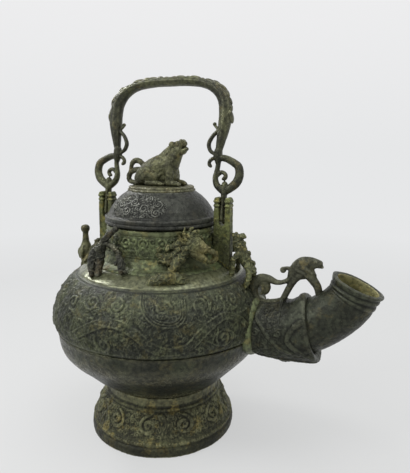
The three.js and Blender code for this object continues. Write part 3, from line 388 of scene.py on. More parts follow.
def spread(tree, value, low, high, start=0.0, end=1.0, course="SMOOTHSTEP"):
    """Takes a value that goes from low to high, and makes it go from start to end."""
    node = added(tree, "ShaderNodeMapRange", {
        "Value": value, "From Min": low, "From Max": high, "To Min": start, "To Max": end,
    }, interpolation_type=course)
    return node.outputs["Result"]


def maths(tree, operation, a, b):
    return added(tree, "ShaderNodeMath", {0: a, 1: b}, operation=operation).outputs[0]


def blend(tree, share, under, over):
    """A share of one colour laid over another."""
    return added(tree, "ShaderNodeMix", {"Factor": share, 6: under, 7: over}, data_type="RGBA").outputs[2]


def bronze(name, hollow, body, bloom, worn, earth, earth_share, dull, rub, seed, gloss=0.25):
    """Cast bronze under an old patina: dark in the hollows and under painted shade, olive bloom
    in patches, ochre earth in blotches, and paler metal on worn edges and where hands have
    rubbed it, a pale colour that also paints sheen and reflection where a piece is marked so.
    dull is its least roughness, and rub the share of bare metal on an edge."""
    material = bpy.data.materials.new(name)
    material.use_nodes = True
    tree = material.node_tree
    where = added(tree, "ShaderNodeTexCoord")
    place = added(tree, "ShaderNodeMapping", {
        "Vector": where.outputs["Object"], "Location": (seed, seed * 0.7, seed * 1.3),
    })

    def marked(attribute):
        return added(tree, "ShaderNodeAttribute", attribute_name=attribute).outputs["Fac"]

    def cloud(scale, detail=3.0, rough=0.6):
        texture = added(tree, "ShaderNodeTexNoise", {
            "Vector": place.outputs["Vector"], "Scale": scale, "Detail": detail, "Roughness": rough,
        })
        return texture.outputs["Fac"]

    proud, pale_and_sheen = marked("proud"), marked("pale_and_sheen")
    patches, blotches = cloud(30, 4.0), cloud(75, 4.0, 0.7)
    flecks, specks, grain = cloud(260, 5.0, 0.72), cloud(520, 3.0, 0.7), cloud(950, 2.0)
    # Patches of bloom, blotches of earth, dark flecks, pale specks and dark hollows, which also take the
    # painted shade
    colour = blend(tree, spread(tree, patches, 0.4, 0.66), tint(body), tint(bloom))
    for mark, low, high, share, over in (
        (blotches, 0.52, 0.66, earth_share, earth), (flecks, 0.44, 0.62, 0.72, hollow),
        (specks, 0.6, 0.7, 0.35, worn), (proud, 0.0, -0.7, 0.7, hollow),
    ):
        colour = blend(tree, spread(tree, mark, low, high, 0.0, share), colour, tint(over))
    # Bare metal shows on worn edges and where hands have held it, and is smoother there; the same pale
    # colour paints sheen and reflection where those are marked
    edges = spread(tree, proud, 0.1, 0.9)
    edges = maths(tree, "MULTIPLY", edges, spread(tree, flecks, 0.62, 0.34, 0.2 * rub, rub))
    pale_and_sheen_share = maths(tree, "MULTIPLY", pale_and_sheen, spread(tree, flecks, 0.66, 0.36, 0.25, 0.75))
    colour = blend(tree, maths(tree, "MAXIMUM", edges, pale_and_sheen_share), colour, tint(worn))
    on_edges = spread(tree, proud, 0.1, 0.9, 0.0, 0.08)
    smoother = maths(tree, "MAXIMUM", on_edges, spread(tree, pale_and_sheen, 0.0, 1.0, 0.0, 0.32))
    rough = maths(tree, "SUBTRACT", spread(tree, flecks, 0.3, 0.72, dull, dull + 0.22), smoother)
    # A sandy grain over coarser pits, which hands have rubbed away
    fine = added(tree, "ShaderNodeBump", {"Height": grain, "Strength": 0.4, "Distance": 0.0004})
    coarse = added(tree, "ShaderNodeBump", {
        "Height": flecks, "Strength": spread(tree, pale_and_sheen, 0.0, 0.9, 0.6, 0.1), "Distance": 0.0013,
        "Normal": fine.outputs["Normal"],
    })
    wired(tree, tree.nodes["Principled BSDF"], {
        "Base Color": colour, "Metallic": 0.4, "Specular IOR Level": gloss, "Roughness": rough,
        "Normal": coarse.outputs["Normal"],
    })
    return material


def finished(obj, material, body, slot, *nodes):
    """Gives a piece its patina, hangs it on the empty of the body that it rides on, and hides the CAD parts
    that it stands for.
    """
    obj.data.materials.clear()
    obj.data.materials.append(material)
    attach(obj, body)
    if nodes:
        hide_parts(*nodes)


foot_patina = bronze(
    "foot_patina", "1c1d17", "3b3c2c", "66684a", "94936f", "7c7140", 0.85, 0.38, 0.4, 0.2)
finished(foot, foot_patina, "vessel", "foot_bronze", "foot")


def sown(name, inputs):
    """A Geometry Nodes tree with an input for each name, kind and value."""
    tree = bpy.data.node_groups.new(name + "_tree", "GeometryNodeTree")
    tree.interface.new_socket(name="Geometry", in_out="OUTPUT", socket_type="NodeSocketGeometry")
    sockets = {}
    for label, kind, *value in inputs:
        kind = "NodeSocket" + kind
        sockets[label] = tree.interface.new_socket(name=label, in_out="INPUT", socket_type=kind)
        if value:
            sockets[label].default_value = value[0]
    return tree, sockets, added(tree, "NodeGroupInput").outputs


def coated(tree, instances, material):
    """Ends a tree: its instances are made real, smooth and coated with the material."""
    real = added(tree, "GeometryNodeRealizeInstances", {"Geometry": instances})
    smooth = added(tree, "GeometryNodeSetShadeSmooth", {"Geometry": real.outputs["Geometry"]})
    coat = added(tree, "GeometryNodeSetMaterial", {
        "Geometry": smooth.outputs["Geometry"], "Material": material,
    })
    added(tree, "NodeGroupOutput", {"Geometry": coat.outputs["Geometry"]})


def plain_mesh(obj):
    """What an object's modifiers make of it, as a plain mesh. The object itself goes."""
    seen = obj.evaluated_get(bpy.context.evaluated_depsgraph_get())
    mesh = bpy.data.meshes.new_from_object(seen)
    bpy.data.objects.remove(obj)
    return mesh


def grown(name, tree, sockets, values, path=()):
    """Runs a Geometry Nodes tree with these inputs, and along this path where it follows
    one, and keeps the result as a plain mesh."""
    start = bpy.data.meshes.new(name + "_holder")
    if len(path):
        start.from_pydata(in_metres(path).tolist(), [(k, k + 1) for k in range(len(path) - 1)], [])
    holder = in_scene(name + "_holder", start)
    growth = holder.modifiers.new("growth", "NODES")
    growth.node_group = tree
    for label, value in values.items():
        growth[sockets[label].identifier] = value
    return in_scene(name, plain_mesh(holder))


# The beads stand in a ring 72.2 mm in radius and 12.6 mm up, and a bead is 1.55 mm in radius
BEADS = 150
BEAD_SEED = 5
bead_tree, bead_inputs, given = sown("foot_bead", [
    ("Beads", "Int", BEADS), ("Ring Radius", "Float", 0.0722), ("Ring Height", "Float", 0.0126),
    ("Bead Radius", "Float", 0.00155), ("Seed", "Int", BEAD_SEED), ("Axis", "Float", POT_AXIS),
])
bead_circle = added(bead_tree, "GeometryNodeMeshCircle", {
    "Vertices": given["Beads"], "Radius": given["Ring Radius"],
})
bead = added(bead_tree, "GeometryNodeMeshIcoSphere", {"Subdivisions": 2, "Radius": given["Bead Radius"]})
# No two beads were punched alike
bead_size = added(bead_tree, "FunctionNodeRandomValue", {2: 0.78, 3: 1.12, "Seed": given["Seed"]},
                  data_type="FLOAT")
punched = added(bead_tree, "GeometryNodeInstanceOnPoints", {
    "Points": bead_circle.outputs["Mesh"], "Instance": bead.outputs["Mesh"], "Scale": bead_size.outputs[1],
})
bead_place = added(bead_tree, "ShaderNodeCombineXYZ", {"X": given["Axis"], "Z": given["Ring Height"]})
bead_ring = added(bead_tree, "GeometryNodeTransform", {
    "Geometry": punched.outputs["Instances"], "Translation": bead_place.outputs["Vector"],
})
coated(bead_tree, bead_ring.outputs["Geometry"], foot_patina)
foot_beads = grown("foot_beads", bead_tree, bead_inputs, {"Beads": BEADS, "Seed": BEAD_SEED})
pit_and_wear(foot_beads, depth=0.3, rounds=4)
finished(foot_beads, foot_patina, "vessel", "foot_bronze")

# Lower bowl: the plain half of the belly, bronze cast thin and left smooth. Its rim carries
# the girth groove, where the carved upper shell was brazed on.

bowl_patina = bronze(
    "bowl_patina", "161813", "20241d", "353b2b", "6a6750", "4b462c", 0.6, 0.28, 0.4, 0.0, 0.2)


def walled(outline, wall):
    """The same outline moved inwards by the wall, running back down."""
    along = directions(outline)
    return (outline + np.c_[-along[:, 1], along[:, 0]] * wall)[::-1]


WALL = 3.2
BOWL_FOOT = 42
BOWL_REACH = (104.3, 70.5)
bowl_curve = catmull([(0, 0), (0.3, 0.02), (0.56, 0.15), (0.755, 0.425), (0.923, 0.695), (1, 1)], 46)
bowl_curve = bowl_curve * BOWL_REACH + (0, BOWL_FOOT)
bowl_skin = np.r_[bowl_curve[:-1], [(104.1, 111.6), (103.6, 112.4)]]
bowl_inside = walled(bowl_curve[4:-3], WALL)
bowl_ring = np.r_[bowl_skin, [(101.6, 112.4), (101.4, 107.6)], bowl_inside, [(0, BOWL_FOOT + WALL)]]


def uneven_side(steps):
    """The old casting swells a little more on the side away from the spout."""
    off = (np.arange(steps) / steps * 360 - 205 + 180) % 360 - 180
    return np.exp(-(off / 50) ** 2)


BOWL_TURNS = 320
bowl_swell = 5.6 * np.exp(-((bowl_skin[:, 1] - 83) / 27) ** 2)[:, None] * uneven_side(BOWL_TURNS)
bowl = drawn("cast_bowl", *turned(bowl_ring, BOWL_TURNS, bowl_swell))
# The paler band low on the bowl is a painted reflection of the pale floor
pit_and_wear(bowl, wave=0.45, pits=0.12, seed=4, pale_and_sheen=lambda p: np.interp(p[:, 2], [58, 68], [0.55, 0]))
finished(bowl, bowl_patina, "vessel", "body_bronze", "lower_bowl")

# Upper shell: the carved half of the belly, a thin bronze casting brazed on the bowl's rim.
# Serpents wind among clouds in a band between the girth groove and the shoulder's double
# groove; above that it is plain to the neck.

SHELL_TURNS = 980
SHELL_MEAN = 99.0
SHELL_CENTRE = (26.6, 127)
SHELL_REACH = (80.4, 56)
GIRTH_DROP = 14.5
SHOULDER_RADIUS = 84.2
MOUTH_RADIUS = 55
shell_patina = bronze("shell_patina", "151712", "31342b", "4b503a", "878a6b", "5e5834", 0.5, 0.32, 0.3, 7.0)


def groove(at, centre, width, depth):
    """A rounded groove across a casting, or a ridge where the depth is negative."""
    return -depth * np.exp(-((at - centre) / width) ** 2)


def shell_point(angle):
    """A point of the belly's round outline, from the angle above its widest place."""
    return np.stack([SHELL_CENTRE[0] + SHELL_REACH[0] * np.cos(angle),
                     SHELL_CENTRE[1] + SHELL_REACH[1] * np.sin(angle)], -1)


girth_turn = -math.asin(GIRTH_DROP / SHELL_REACH[1])
shoulder_turn, mouth_turn = (math.acos((radius - SHELL_CENTRE[0]) / SHELL_REACH[0])
                             for radius in (SHOULDER_RADIUS, MOUTH_RADIUS))
shell_turns = np.r_[np.linspace(girth_turn + 0.01, shoulder_turn + 0.05, 74),
                    np.linspace(shoulder_turn + 0.07, mouth_turn, 10)]
shell_skin = np.r_[[(102.2, 112.7), (103.4, 112.75)], shell_point(shell_turns)]
shell_inside = walled(shell_point(np.linspace(girth_turn, mouth_turn, 10)), WALL)
shell_ring = np.r_[shell_skin, shell_inside, [(100.6, 107.8), (102.3, 107.8)]]
shell_up = arc_lengths(shell_skin)
shell_around = turns_of(SHELL_TURNS) * SHELL_MEAN
shell_top = np.interp(shoulder_turn, shell_turns, shell_up[2:])
shell_relief = np.zeros((len(shell_skin), SHELL_TURNS))


def on_shell(pairs):
    """Places on the band, from degrees round the pot and shares of the way up its curve."""
    degrees, share = np.array(pairs, float).T
    up = np.interp(girth_turn + (shoulder_turn - girth_turn) * share, shell_turns, shell_up[2:])
    return np.c_[np.radians(degrees + 360) * SHELL_MEAN, up]


def beside(path, distance):
    """The same path moved sideways."""
    along = directions(path)
    return path + np.c_[-along[:, 1], along[:, 0]] * distance


def serpent(path, half, rise):
    """A serpent: a low round back, a raised line along each side, and rows of scales."""
    t = np.linspace(0, 1, len(path))
    taper = np.interp(t, [0, 0.2, 0.75, 1], [0.35, 1, 1, 0.5]) * half
    strokes = [(path, taper, rise * 0.62, 0)]
    for hand in (-1, 1):
        strokes.append((beside(path, (hand * 0.82 * taper)[:, None]), 0.75, rise, 0))
    for k in range(3, len(path) - 3, 2):
        forward = path[k + 1] - path[k - 1]
        forward /= np.hypot(*forward)
        side = np.array([-forward[1], forward[0]])
        for row in (-0.45, 0, 0.45):
            middle = path[k] + side * row * taper[k] + forward * (1.0 if row == 0 else 0)
            scale = [middle + side * 0.3 * taper[k] * e - forward * 1.2 * e * e
                     for e in (-1, -0.5, 0, 0.5, 1)]
            strokes.append((scale, 0.5, rise * 0.95, 0))
    return strokes


def fan(x, y, reach, gap, count, start, sweep, width, rise):
    """Bent lines that run side by side like combed hair, each shorter than the one outside it."""
    strokes = []
    for k in range(count):
        t = np.linspace(0, 1, 12)
        turn = start + sweep * (0.08 * k + (1 - 0.16 * k) * t)
        radius = (reach - gap * k) * (1 - 0.22 * t)
        path = np.c_[x + radius * np.cos(turn), y + radius * np.sin(turn)]
        strokes.append((path, width * np.interp(t, [0, 0.3, 1], [0.5, 1, 0.7]), rise, 0))
    return strokes


near_serpent = catmull(on_shell([
    (-124, 0.34), (-117, 0.2), (-110, 0.2), (-103, 0.32), (-96, 0.44), (-89, 0.53), (-81, 0.5), (-74, 0.4),
    (-68, 0.24), (-60, 0.15), (-51, 0.2), (-45, 0.36), (-38, 0.5), (-30, 0.56), (-22, 0.46), (-17, 0.3),
]), 110)
tail_serpent = catmull(on_shell([
    (-178, 0.4), (-169, 0.54), (-160, 0.54), (-151, 0.4), (-142, 0.2), (-133, 0.17),
]), 44)
cloud_line = catmull(on_shell([
    (-74, 0.95), (-72.5, 0.74), (-66, 0.54), (-57, 0.5), (-51.5, 0.62), (-50.5, 0.86),
]), 30)
shell_strokes = serpent(near_serpent, 4.2, 1.35) + serpent(tail_serpent, 4.2, 1.35)
shell_strokes += [(beside(cloud_line, gap), 0.85, 1.35 - 0.1 * gap, 0) for gap in (0, 2.3, 4.4)]
for degrees, share, start, hand in (
    (-62, 0.76, 0.4, 1), (-86, 0.78, 2, -1), (-101, 0.76, 4, 1), (-115, 0.68, 5, -1),
    (-90, 0.2, 3.2, 1), (-42, 0.77, 3.6, -1), (-33, 0.25, 2.7, 1), (-22, 0.76, 4.4, -1),
    (-135, 0.78, 2.4, -1), (-151, 0.75, 4, 1), (-166, 0.8, 1.5, -1), (-158, 0.2, 3.4, 1),
):
    x, y = on_shell([(degrees, share)])[0]
    shell_strokes.append(curl(x, y, 7.4, 1.35, start, hand, 1.25, 1.3, 0.3, 8.0))
    shell_strokes += fan(x, y, 10.4, 1.9, 2, start + 2.6 * hand, 2.2 * hand, 0.7, 0.9)
rng = np.random.default_rng(20)
for k in range(46):
    x, y = on_shell([(-178 + 3.9 * k, (0.1, 0.62, 0.9, 0.36)[k % 4])])[0]
    size, start, hand = rng.uniform(5, 8), rng.uniform(0, 6.28), rng.choice([-1, 1])
    shell_strokes += fan(x, y, size, 1.75, 3, start, hand * 2.4, 0.66, 0.85)
# A ribbed pod under the serpent's last bend
pod = on_shell([(-33, 0.25)])[0]
ring = np.linspace(0, 2 * np.pi, 26)
shell_strokes.append((pod + np.c_[10.2 * np.cos(ring), 6.8 * np.sin(ring)], 0.8, 1.2, 0))
raise_strokes(shell_relief, shell_around, shell_up, shell_strokes)
half_way = SHELL_MEAN * math.pi
for spacing, size, seed, rise in ((4.6, 2.2, 22, 0.7), (3.0, 1.25, 23, 0.45)):
    fill_with_scrolls(
        shell_relief, shell_around, shell_up, 4, shell_top - 3, spacing, size, seed, rise, half_way)
# The far side is carved as a mirror image of the near one
shell_relief = np.maximum(shell_relief, shell_relief[:, -np.arange(SHELL_TURNS) % SHELL_TURNS])
shell_relief *= np.clip(0.85 + 1.1 * wear_map(shell_around, SHELL_MEAN, shell_up, 11, 8), 0.25, 1.3)
shell_relief -= 0.25
shell_relief *= window(shell_up, [3.0, 4.0, shell_top - 3.4, shell_top - 2.4])[:, None]
for at, width, depth in ((2.6, 0.75, 0.8), (shell_top - 1.6, 0.75, 0.9), (shell_top + 1.1, 0.65, 0.8)):
    shell_relief += groove(shell_up, at, width, depth)[:, None]
shell_relief += 1.8 * uneven_side(SHELL_TURNS) * np.exp(-(shell_up / 26) ** 2)[:, None]
shell = drawn("carved_shell", *turned(shell_ring, SHELL_TURNS, shell_relief))


def shoulder_rub_and_sheen(points):
    """Hands have kept the plain shoulder bright, and least so under the climbing beasts; its paler colour
    also stands in for painted sheen.
    """
    wide = np.hypot(points[:, 0], points[:, 1])
    return (np.interp(points[:, 2], [165.9, 166.3, 166.7, 167.4], [0, 0.4, 0, 1])
            * np.interp(wide, [68, 70], [0.4, 0.85]))


pit_and_wear(
    shell, wave=0.3, pits=0.14, seed=6, pale_and_sheen=shoulder_rub_and_sheen, curls=0.5,
    carved=lambda p: window(p[:, 2], [114, 116, 159, 161]),
    # The band over the shoulder's double groove is painted dark as shade
    shade=lambda p: 0.45 * window(p[:, 2], [164.0, 164.6, 167.0, 167.6]),
)
finished(shell, shell_patina, "vessel", "body_bronze", "upper_shell")

# Neck collar: foot ring, hollow moulding, and a drum carved with two rows of rosettes.
# It is a bronze casting of its own, brazed round the pot's mouth.

NECK_TURNS = 520
NECK_MEAN = 55.5
NECK_ROSETTES = 20
NECK_BAND = (190.0, 206.6)
neck_patina = bronze(
    "neck_patina", "202219", "434832", "5e6845", "888e69", "756a38", 0.7, 0.36, 0.35, 0.5)
neck_outside = np.array([
    (68.0, 171.5), (68.2, 175.4), (67.2, 176.8), (65.4, 177.6), (61.4, 180.0), (58.6, 184.4),
    (57.3, 187.6), (57.6, 188.6), (56.9, 189.8), (54.5, 206.4), (53.9, 207.4), (54.7, 208.4),
    (54.9, 210.4), (54.5, 212.2), (53.6, 212.6),
])
neck_inside = np.array([(50.8, 212.5), (50.4, 211.8), (50.4, 178.0), (58.0, 173.4), (66.0, 171.0)])
neck_skin = traced(eased(neck_outside, 0.7), 0.7)
neck_ring = np.r_[neck_skin, traced(eased(neck_inside, 1.0), 6)]
neck_up = arc_lengths(neck_skin)
neck_around = turns_of(NECK_TURNS) * NECK_MEAN
neck_low, neck_high = np.interp(NECK_BAND, neck_skin[:, 1], neck_up)
neck_relief = np.zeros((len(neck_skin), NECK_TURNS))
neck_strokes = []
ring = np.linspace(0, 2 * np.pi, 20)
for k in range(NECK_ROSETTES):
    x = math.radians(k * 360 / NECK_ROSETTES + 10) * NECK_MEAN
    hand = 1 if k % 2 else -1
    # A rosette is a ring round a boss; leaves and a half scroll fill the way to the next one
    boss = (x, neck_high - 5.4)
    leaf = [(x + out, neck_low + up) for out, up in ((-4.4, 5.0), (-3.0, 1.2), (0, 0.4), (3.0, 1.2))]
    neck_strokes += [
        (boss + 4.1 * np.c_[np.cos(ring), np.sin(ring)], 0.95, 1.15, 0),
        ([boss, (x + 0.1, boss[1])], 1.7, 1.0, 0),
        curl(x + 8.7, neck_high - 3.4, 2.9, 1.0, 4.2, -hand, 0.95, 0.9, 0.2, 3.5),
        curl(x + 8.7, neck_low + 3.2, 3.0, 1.2, 0.6, hand, 1.0, 1.0, 0.2, 4.0),
        ([(x, neck_low + 3.0), (x + 0.1, neck_low + 3.0)], 1.5, 1.0, 0),
        (catmull(leaf, 9), 0.8, 0.9, 0),
    ]
raise_strokes(neck_relief, neck_around, neck_up, neck_strokes)
neck_worn = 1.05 + 1.5 * wear_map(neck_around, NECK_MEAN, neck_up, 3, 9)
# The lower row is worn more than the upper one
neck_worn -= 0.3 * (neck_up < (neck_low + neck_high) / 2)[:, None]
neck_relief *= np.clip(neck_worn, 0.2, 1.6)
fill_with_scrolls(neck_relief, neck_around, neck_up, neck_low, neck_high, 3.2, 1.4, 31, 0.55)
neck_relief *= window(neck_up, [neck_low - 0.6, neck_low + 0.4, neck_high - 0.4, neck_high + 0.4])[:, None]
neck = drawn("carved_neck", *turned(neck_ring, NECK_TURNS, neck_relief))
pit_and_wear(
    neck, wave=0.5, pits=0.3, seed=8, curls=0.35,
    carved=lambda p: (p[:, 2] > 189) & (p[:, 2] < 207),
    pale_and_sheen=lambda p: 0.5 * (p[:, 2] > 207.2) + 0.2 * ((p[:, 2] > 178) & (p[:, 2] < 187)),
)
finished(neck, neck_patina, "vessel", "neck_bronze", "neck_collar")

# Spout: a bronze horn that comes out of a beast's jaws, brazed into the shell's wall. The
# horn is a plain tapered casting with rings at its mouth; the sleeve is the carved muzzle,
# and the flange a raised strip.

ROOT_HEIGHT = 120.4
HORN_ROOT = 107
spout_patina = bronze(
    "spout_patina", "161712", "272922", "3a3e31", "666854", "4f4a30", 0.6, 0.34, 0.3, 0.9)
horn_mouth_patina = bronze(
    "horn_mouth_patina", "4a4a34", "8a875c", "aaa572", "c4be98", "b09a5c", 0.8, 0.45, 0.5, 1.4)


def lofted(rings, closed=False):
    """A skin over rings of points. Its ends are closed by fans, or the last ring is joined
    to the first."""
    rings = np.asarray(rings, float)
    here, beside, faces = woven(*rings.shape[:2])
    points = rings.reshape(-1, 3)
    if closed:
        return points, faces.reshape(-1, 4).tolist()
    first, last = len(points), len(points) + 1
    points = np.r_[points, [rings[0].mean(0)], [rings[-1].mean(0)]]
    faces = faces[:-1].reshape(-1, 4).tolist()
    faces += [[first, b, a] for a, b in zip(here[0], beside[0])]
    faces += [[last, a, b] for a, b in zip(here[-1], beside[-1])]
    return points, faces


def oval_rings(centres, sizes, turns):
    """Oval sections square to a curve in the upright plane; they start at the top and run
    by the near side, so that the skin faces outwards."""
    along = directions(centres)
    upright = np.c_[-along[:, 2], 0 * along[:, 1], along[:, 0]]
    return (centres[:, None] + upright[:, None] * (sizes[:, :1] * np.cos(turns))[..., None]
            - np.array([0, 1.0, 0]) * (sizes[:, 1:] * np.sin(turns))[..., None])


HORN_TURNS = 120
HORN_SIZE = (22.4, 20.2)
HORN_REACH = (85.5, 50.1)
# Shares of the horn's way out and up, and of its mouth's height and width
horn_line = np.array([
    (-0.316, 0), (-0.035, 0), (0.246, 0.02), (0.526, 0.136), (0.76, 0.401), (0.924, 0.701), (1, 1),
])
horn_girth = np.array([
    (0.955, 1.19), (0.955, 1.19), (1.02, 1.2), (1.07, 1.19), (1.01, 1.11), (0.965, 1.03), (1, 1),
])
horn_out, horn_rise = (horn_line * HORN_REACH).T
horn_centres = catmull(np.c_[HORN_ROOT + horn_out, 0 * horn_out, ROOT_HEIGHT + horn_rise], 110)
horn_sizes = catmull(horn_girth * HORN_SIZE, 110)
horn_arc = arc_lengths(horn_centres)
# Grooves and rounds by turns at the mouth, as distance from it, width and depth
horn_swell = sum(groove(horn_arc[-1] - horn_arc, *mark) for mark in (
    (4.6, 0.8, 0.9), (9.4, 0.8, 0.8), (13.2, 0.7, 0.5),
    (7.0, 1.4, -0.5), (11.4, 1.2, -0.4), (0.0, 3.4, -1.5),
))
turns = turns_of(HORN_TURNS)
outer = oval_rings(horn_centres, horn_sizes + horn_swell[:, None], turns)
bore = oval_rings(horn_centres, horn_sizes - WALL, turns)
lip = oval_rings(horn_centres, horn_sizes - 1.2, turns)[-1:] + np.array([0.1, 0, 0.9])
# The first rings would stand in the pot
outer, bore = outer[8:], bore[8:]
horn = drawn("ringed_horn", *lofted(np.r_[outer, lip, bore[::-1]], closed=True))
pit_and_wear(horn, wave=0.6, pits=0.22, seed=10)
finished(horn, spout_patina, "vessel", "spout_bronze", "spout_horn")
horn.data.materials.append(horn_mouth_patina)
for face in horn.data.polygons:
    if face.index >= (len(outer) + 1) * HORN_TURNS:
        face.material_index = 1

SLEEVE_TURNS = 220
SLEEVE_SIZE = (24.8, 27.4)
SLEEVE_ROOT = 70
SLEEVE_LENGTH = 86
# Share of the way along, rise, and growth in height and in width
sleeve_table = np.array([
    (0, -0.2, 0, 1.1), (0.36, -0.2, 0, 1.1), (0.56, -1.4, 1.4, 1.4), (0.72, -0.4, 3.4, 1.2),
    (0.87, 2.2, 5.2, 1), (1, 5, 5.6, 0.2),
])
share = np.linspace(0, 1, 96)
rise, deeper, wider = (np.interp(share, sleeve_table[:, 0], sleeve_table[:, k]) for k in (1, 2, 3))
sleeve_centres = np.c_[SLEEVE_ROOT + SLEEVE_LENGTH * share, 0 * share, ROOT_HEIGHT + rise]
sleeve_sizes = np.c_[deeper, wider] + SLEEVE_SIZE
turns = turns_of(SLEEVE_TURNS)
# The carving is drawn as degrees round from the top by the near side, and millimetres along
SLEEVE_DEGREE = 0.46
sleeve_relief = np.zeros((len(share), SLEEVE_TURNS))
sleeve_around = np.degrees(turns) * SLEEVE_DEGREE
sleeve_along = sleeve_centres[:, 0] - 100
jaw = []
for near in (1, -1):
    def on_jaw(pairs):
        return np.array([((d % 360 if near > 0 else 360 - d) * SLEEVE_DEGREE, x) for d, x in pairs])

    upper_fold = on_jaw([(20, 8), (48, 6), (70, 14), (92, 24), (112, 34), (120, 46), (112, 54)])
    lip_fold = on_jaw([(60, 56), (72, 44), (90, 38), (110, 44), (128, 52), (140, 56)])
    under_fold = on_jaw([(150, 8), (140, 20), (142, 34), (150, 46), (158, 54)])
    jaw += [
        (catmull(upper_fold, 40), 1.7, 1.9, 0.3),
        (catmull(lip_fold, 40), 2.2, 2.2, 0.3),
        (catmull(under_fold, 30), 1.6, 1.6, 0.3),
    ]
    for place, size, start in (
        ((34, 15), 3.2, 0.5), ((80, 8), 3.6, 2.0), ((104, 16), 4.0, 4.4), ((78, 30), 3.6, 3.0),
        ((150, 30), 3.0, 2.2), ((130, 8), 3.6, 5.0),
    ):
        x, y = on_jaw([place])[0]
        jaw.append(curl(x, y, size, 1.5, start, near, size * 0.24, 1.6, 0.25, size))
raise_strokes(sleeve_relief, sleeve_around, sleeve_along, jaw)
for spacing, size, seed, rise in ((5.2, 2.2, 41, 0.9), (3.2, 1.3, 42, 0.7)):
    fill_with_scrolls(sleeve_relief, sleeve_around, sleeve_along, 4, 30, spacing, size, seed, rise)
fading = np.clip((sleeve_along - 3) / 2, 0, 1) * np.clip((56.5 - sleeve_along) / 2, 0.35, 1)
sleeve_relief *= fading[:, None]
plain = oval_rings(sleeve_centres, sleeve_sizes, turns)
outward = plain - sleeve_centres[:, None]
outward /= np.linalg.norm(outward, axis=2)[..., None]
# Two low crests stand on the muzzle's back, with a dip between them
crests = -sum(groove(sleeve_along, *mark) for mark in ((30, 3.6, 3.6), (39, 3.6, -1.4), (53, 4.2, 3.4)))
crests = crests[:, None] * np.exp(-(((np.degrees(turns) + 180) % 360 - 180) / 24) ** 2)
skin = plain + outward * (sleeve_relief * 0.8 + crests)[..., None]
# Behind its lip the sleeve closes in on the horn
sleeve_wall = np.interp(share, [0.955, 0.98, 1], [1, 0.8, 0.35])[:, None] * (6.4, 9.4)
hollow = oval_rings(sleeve_centres, sleeve_sizes - sleeve_wall, turns)
sleeve = drawn("jaw_sleeve", *lofted(np.r_[skin[20:], hollow[20:][::-1]], closed=True))
pit_and_wear(sleeve, wave=0.8, pits=0.22, seed=12, curls=0.3)
finished(sleeve, spout_patina, "vessel", "spout_bronze", "spout_sleeve")

STRIP_SIZE = (28.4, 33.4)
STRIP_ROOT = 92
STRIP_LENGTH = 13.4
share = np.linspace(0, 1, 18)
strip_centres = np.c_[STRIP_ROOT + STRIP_LENGTH * share, 0 * share, 0 * share + ROOT_HEIGHT]
bevel = np.clip((share - 0.66) / 0.34, 0, 1) ** 1.6 * 3.4
strip_sizes = STRIP_SIZE - bevel[:, None]
strip = drawn("spout_strip", *lofted(oval_rings(strip_centres, strip_sizes, turns_of(150))))
pit_and_wear(strip, wave=0.7, pits=0.25, seed=14)
finished(strip, neck_patina, "vessel", "neck_bronze", "spout_flange")

# Crest on the spout: a long-legged bird running back into an openwork leaf scroll, a bronze
# cast in one piece by the lost wax way, so every edge is soft. It is brazed on the horn.


def limb(path, sizes, side=(0, 1, 0), sides=14, step=1.1):
    """A round-ended bar along a smooth curve. sizes are half its width in the curve's plane
    and half its depth along side, from end to end."""
    path = np.asarray(path, float)
    length = np.linalg.norm(np.diff(path, axis=0), axis=1).sum()
    count = max(6, int(length / step))
    line = catmull(path, count)
    girth = catmull([s if len(s) > 1 else (s[0], s[0]) for s in sizes], count)
    girth = np.maximum(girth, 0.5)
    along = directions(line)
    across = np.cross(np.asarray(side, float), along)
    across /= np.linalg.norm(across, axis=1)[:, None]
    depth = np.cross(along, across)
    turn = turns_of(sides)

    def ring(k, shift, shrink):
        size = girth[k] * shrink
        return (line[k] + along[k] * shift + across[k] * size[0] * np.cos(turn)[:, None]
                + depth[k] * size[1] * np.sin(turn)[:, None])

    head, tail = girth[0].mean(), girth[-1].mean()
    rings = [ring(0, -head * s, c) for s, c in ((0.94, 0.34), (0.74, 0.67), (0.4, 0.92))]
    rings += [ring(k, 0, 1) for k in range(count + 1)]
    rings += [ring(-1, tail * s, c) for s, c in ((0.4, 0.92), (0.74, 0.67), (0.94, 0.34))]
    return lofted(rings)


def ball(at, radius, squash=(1, 1, 1)):
    """A small round lump."""
    turns = turns_of(12)
    rings = [np.c_[np.cos(tilt) * np.cos(turns), np.cos(tilt) * np.sin(turns), np.sin(tilt) + 0 * turns]
             for tilt in np.linspace(-0.48, 0.48, 9) * np.pi]
    return lofted(np.array(rings) * radius * np.array(squash) + np.asarray(at, float))


def melted(name, rough, grain, rounds):
    """The rough object's mesh, melted into one fine skin with soft edges."""
    melt = rough.modifiers.new("melt", "REMESH")
    melt.mode = "VOXEL"
    melt.voxel_size = grain / 1000
    melt.use_smooth_shade = True
    mesh = plain_mesh(rough)
    mesh.shade_smooth()
    reshape(mesh, neighbours_mean(mesh, of_points(mesh, "co"), rounds))
    return in_scene(name, mesh)


def fused(name, shells, grain=0.5, rounds=2):
    """Shells that overlap become one soft-edged casting."""
    points, faces, first = [], [], 0
    for shell_points, shell_faces in shells:
        points.append(shell_points)
        faces += [[first + k for k in face] for face in shell_faces]
        first += len(shell_points)
    return melted(name, drawn(name + "_wax", np.concatenate(points), faces), grain, rounds)


crest_patina = bronze("crest_patina", "22231b", "4a4b3e", "5f6049", "8f8d74", "7c6f42", 0.45, 0.46, 0.5, 2.1)
CREST_FOOT = ROOT_HEIGHT + HORN_SIZE[0] + 3.4


def on_crest(*pairs, y=0.0):
    return [(HORN_ROOT + x, y, CREST_FOOT + z) for x, z in pairs]


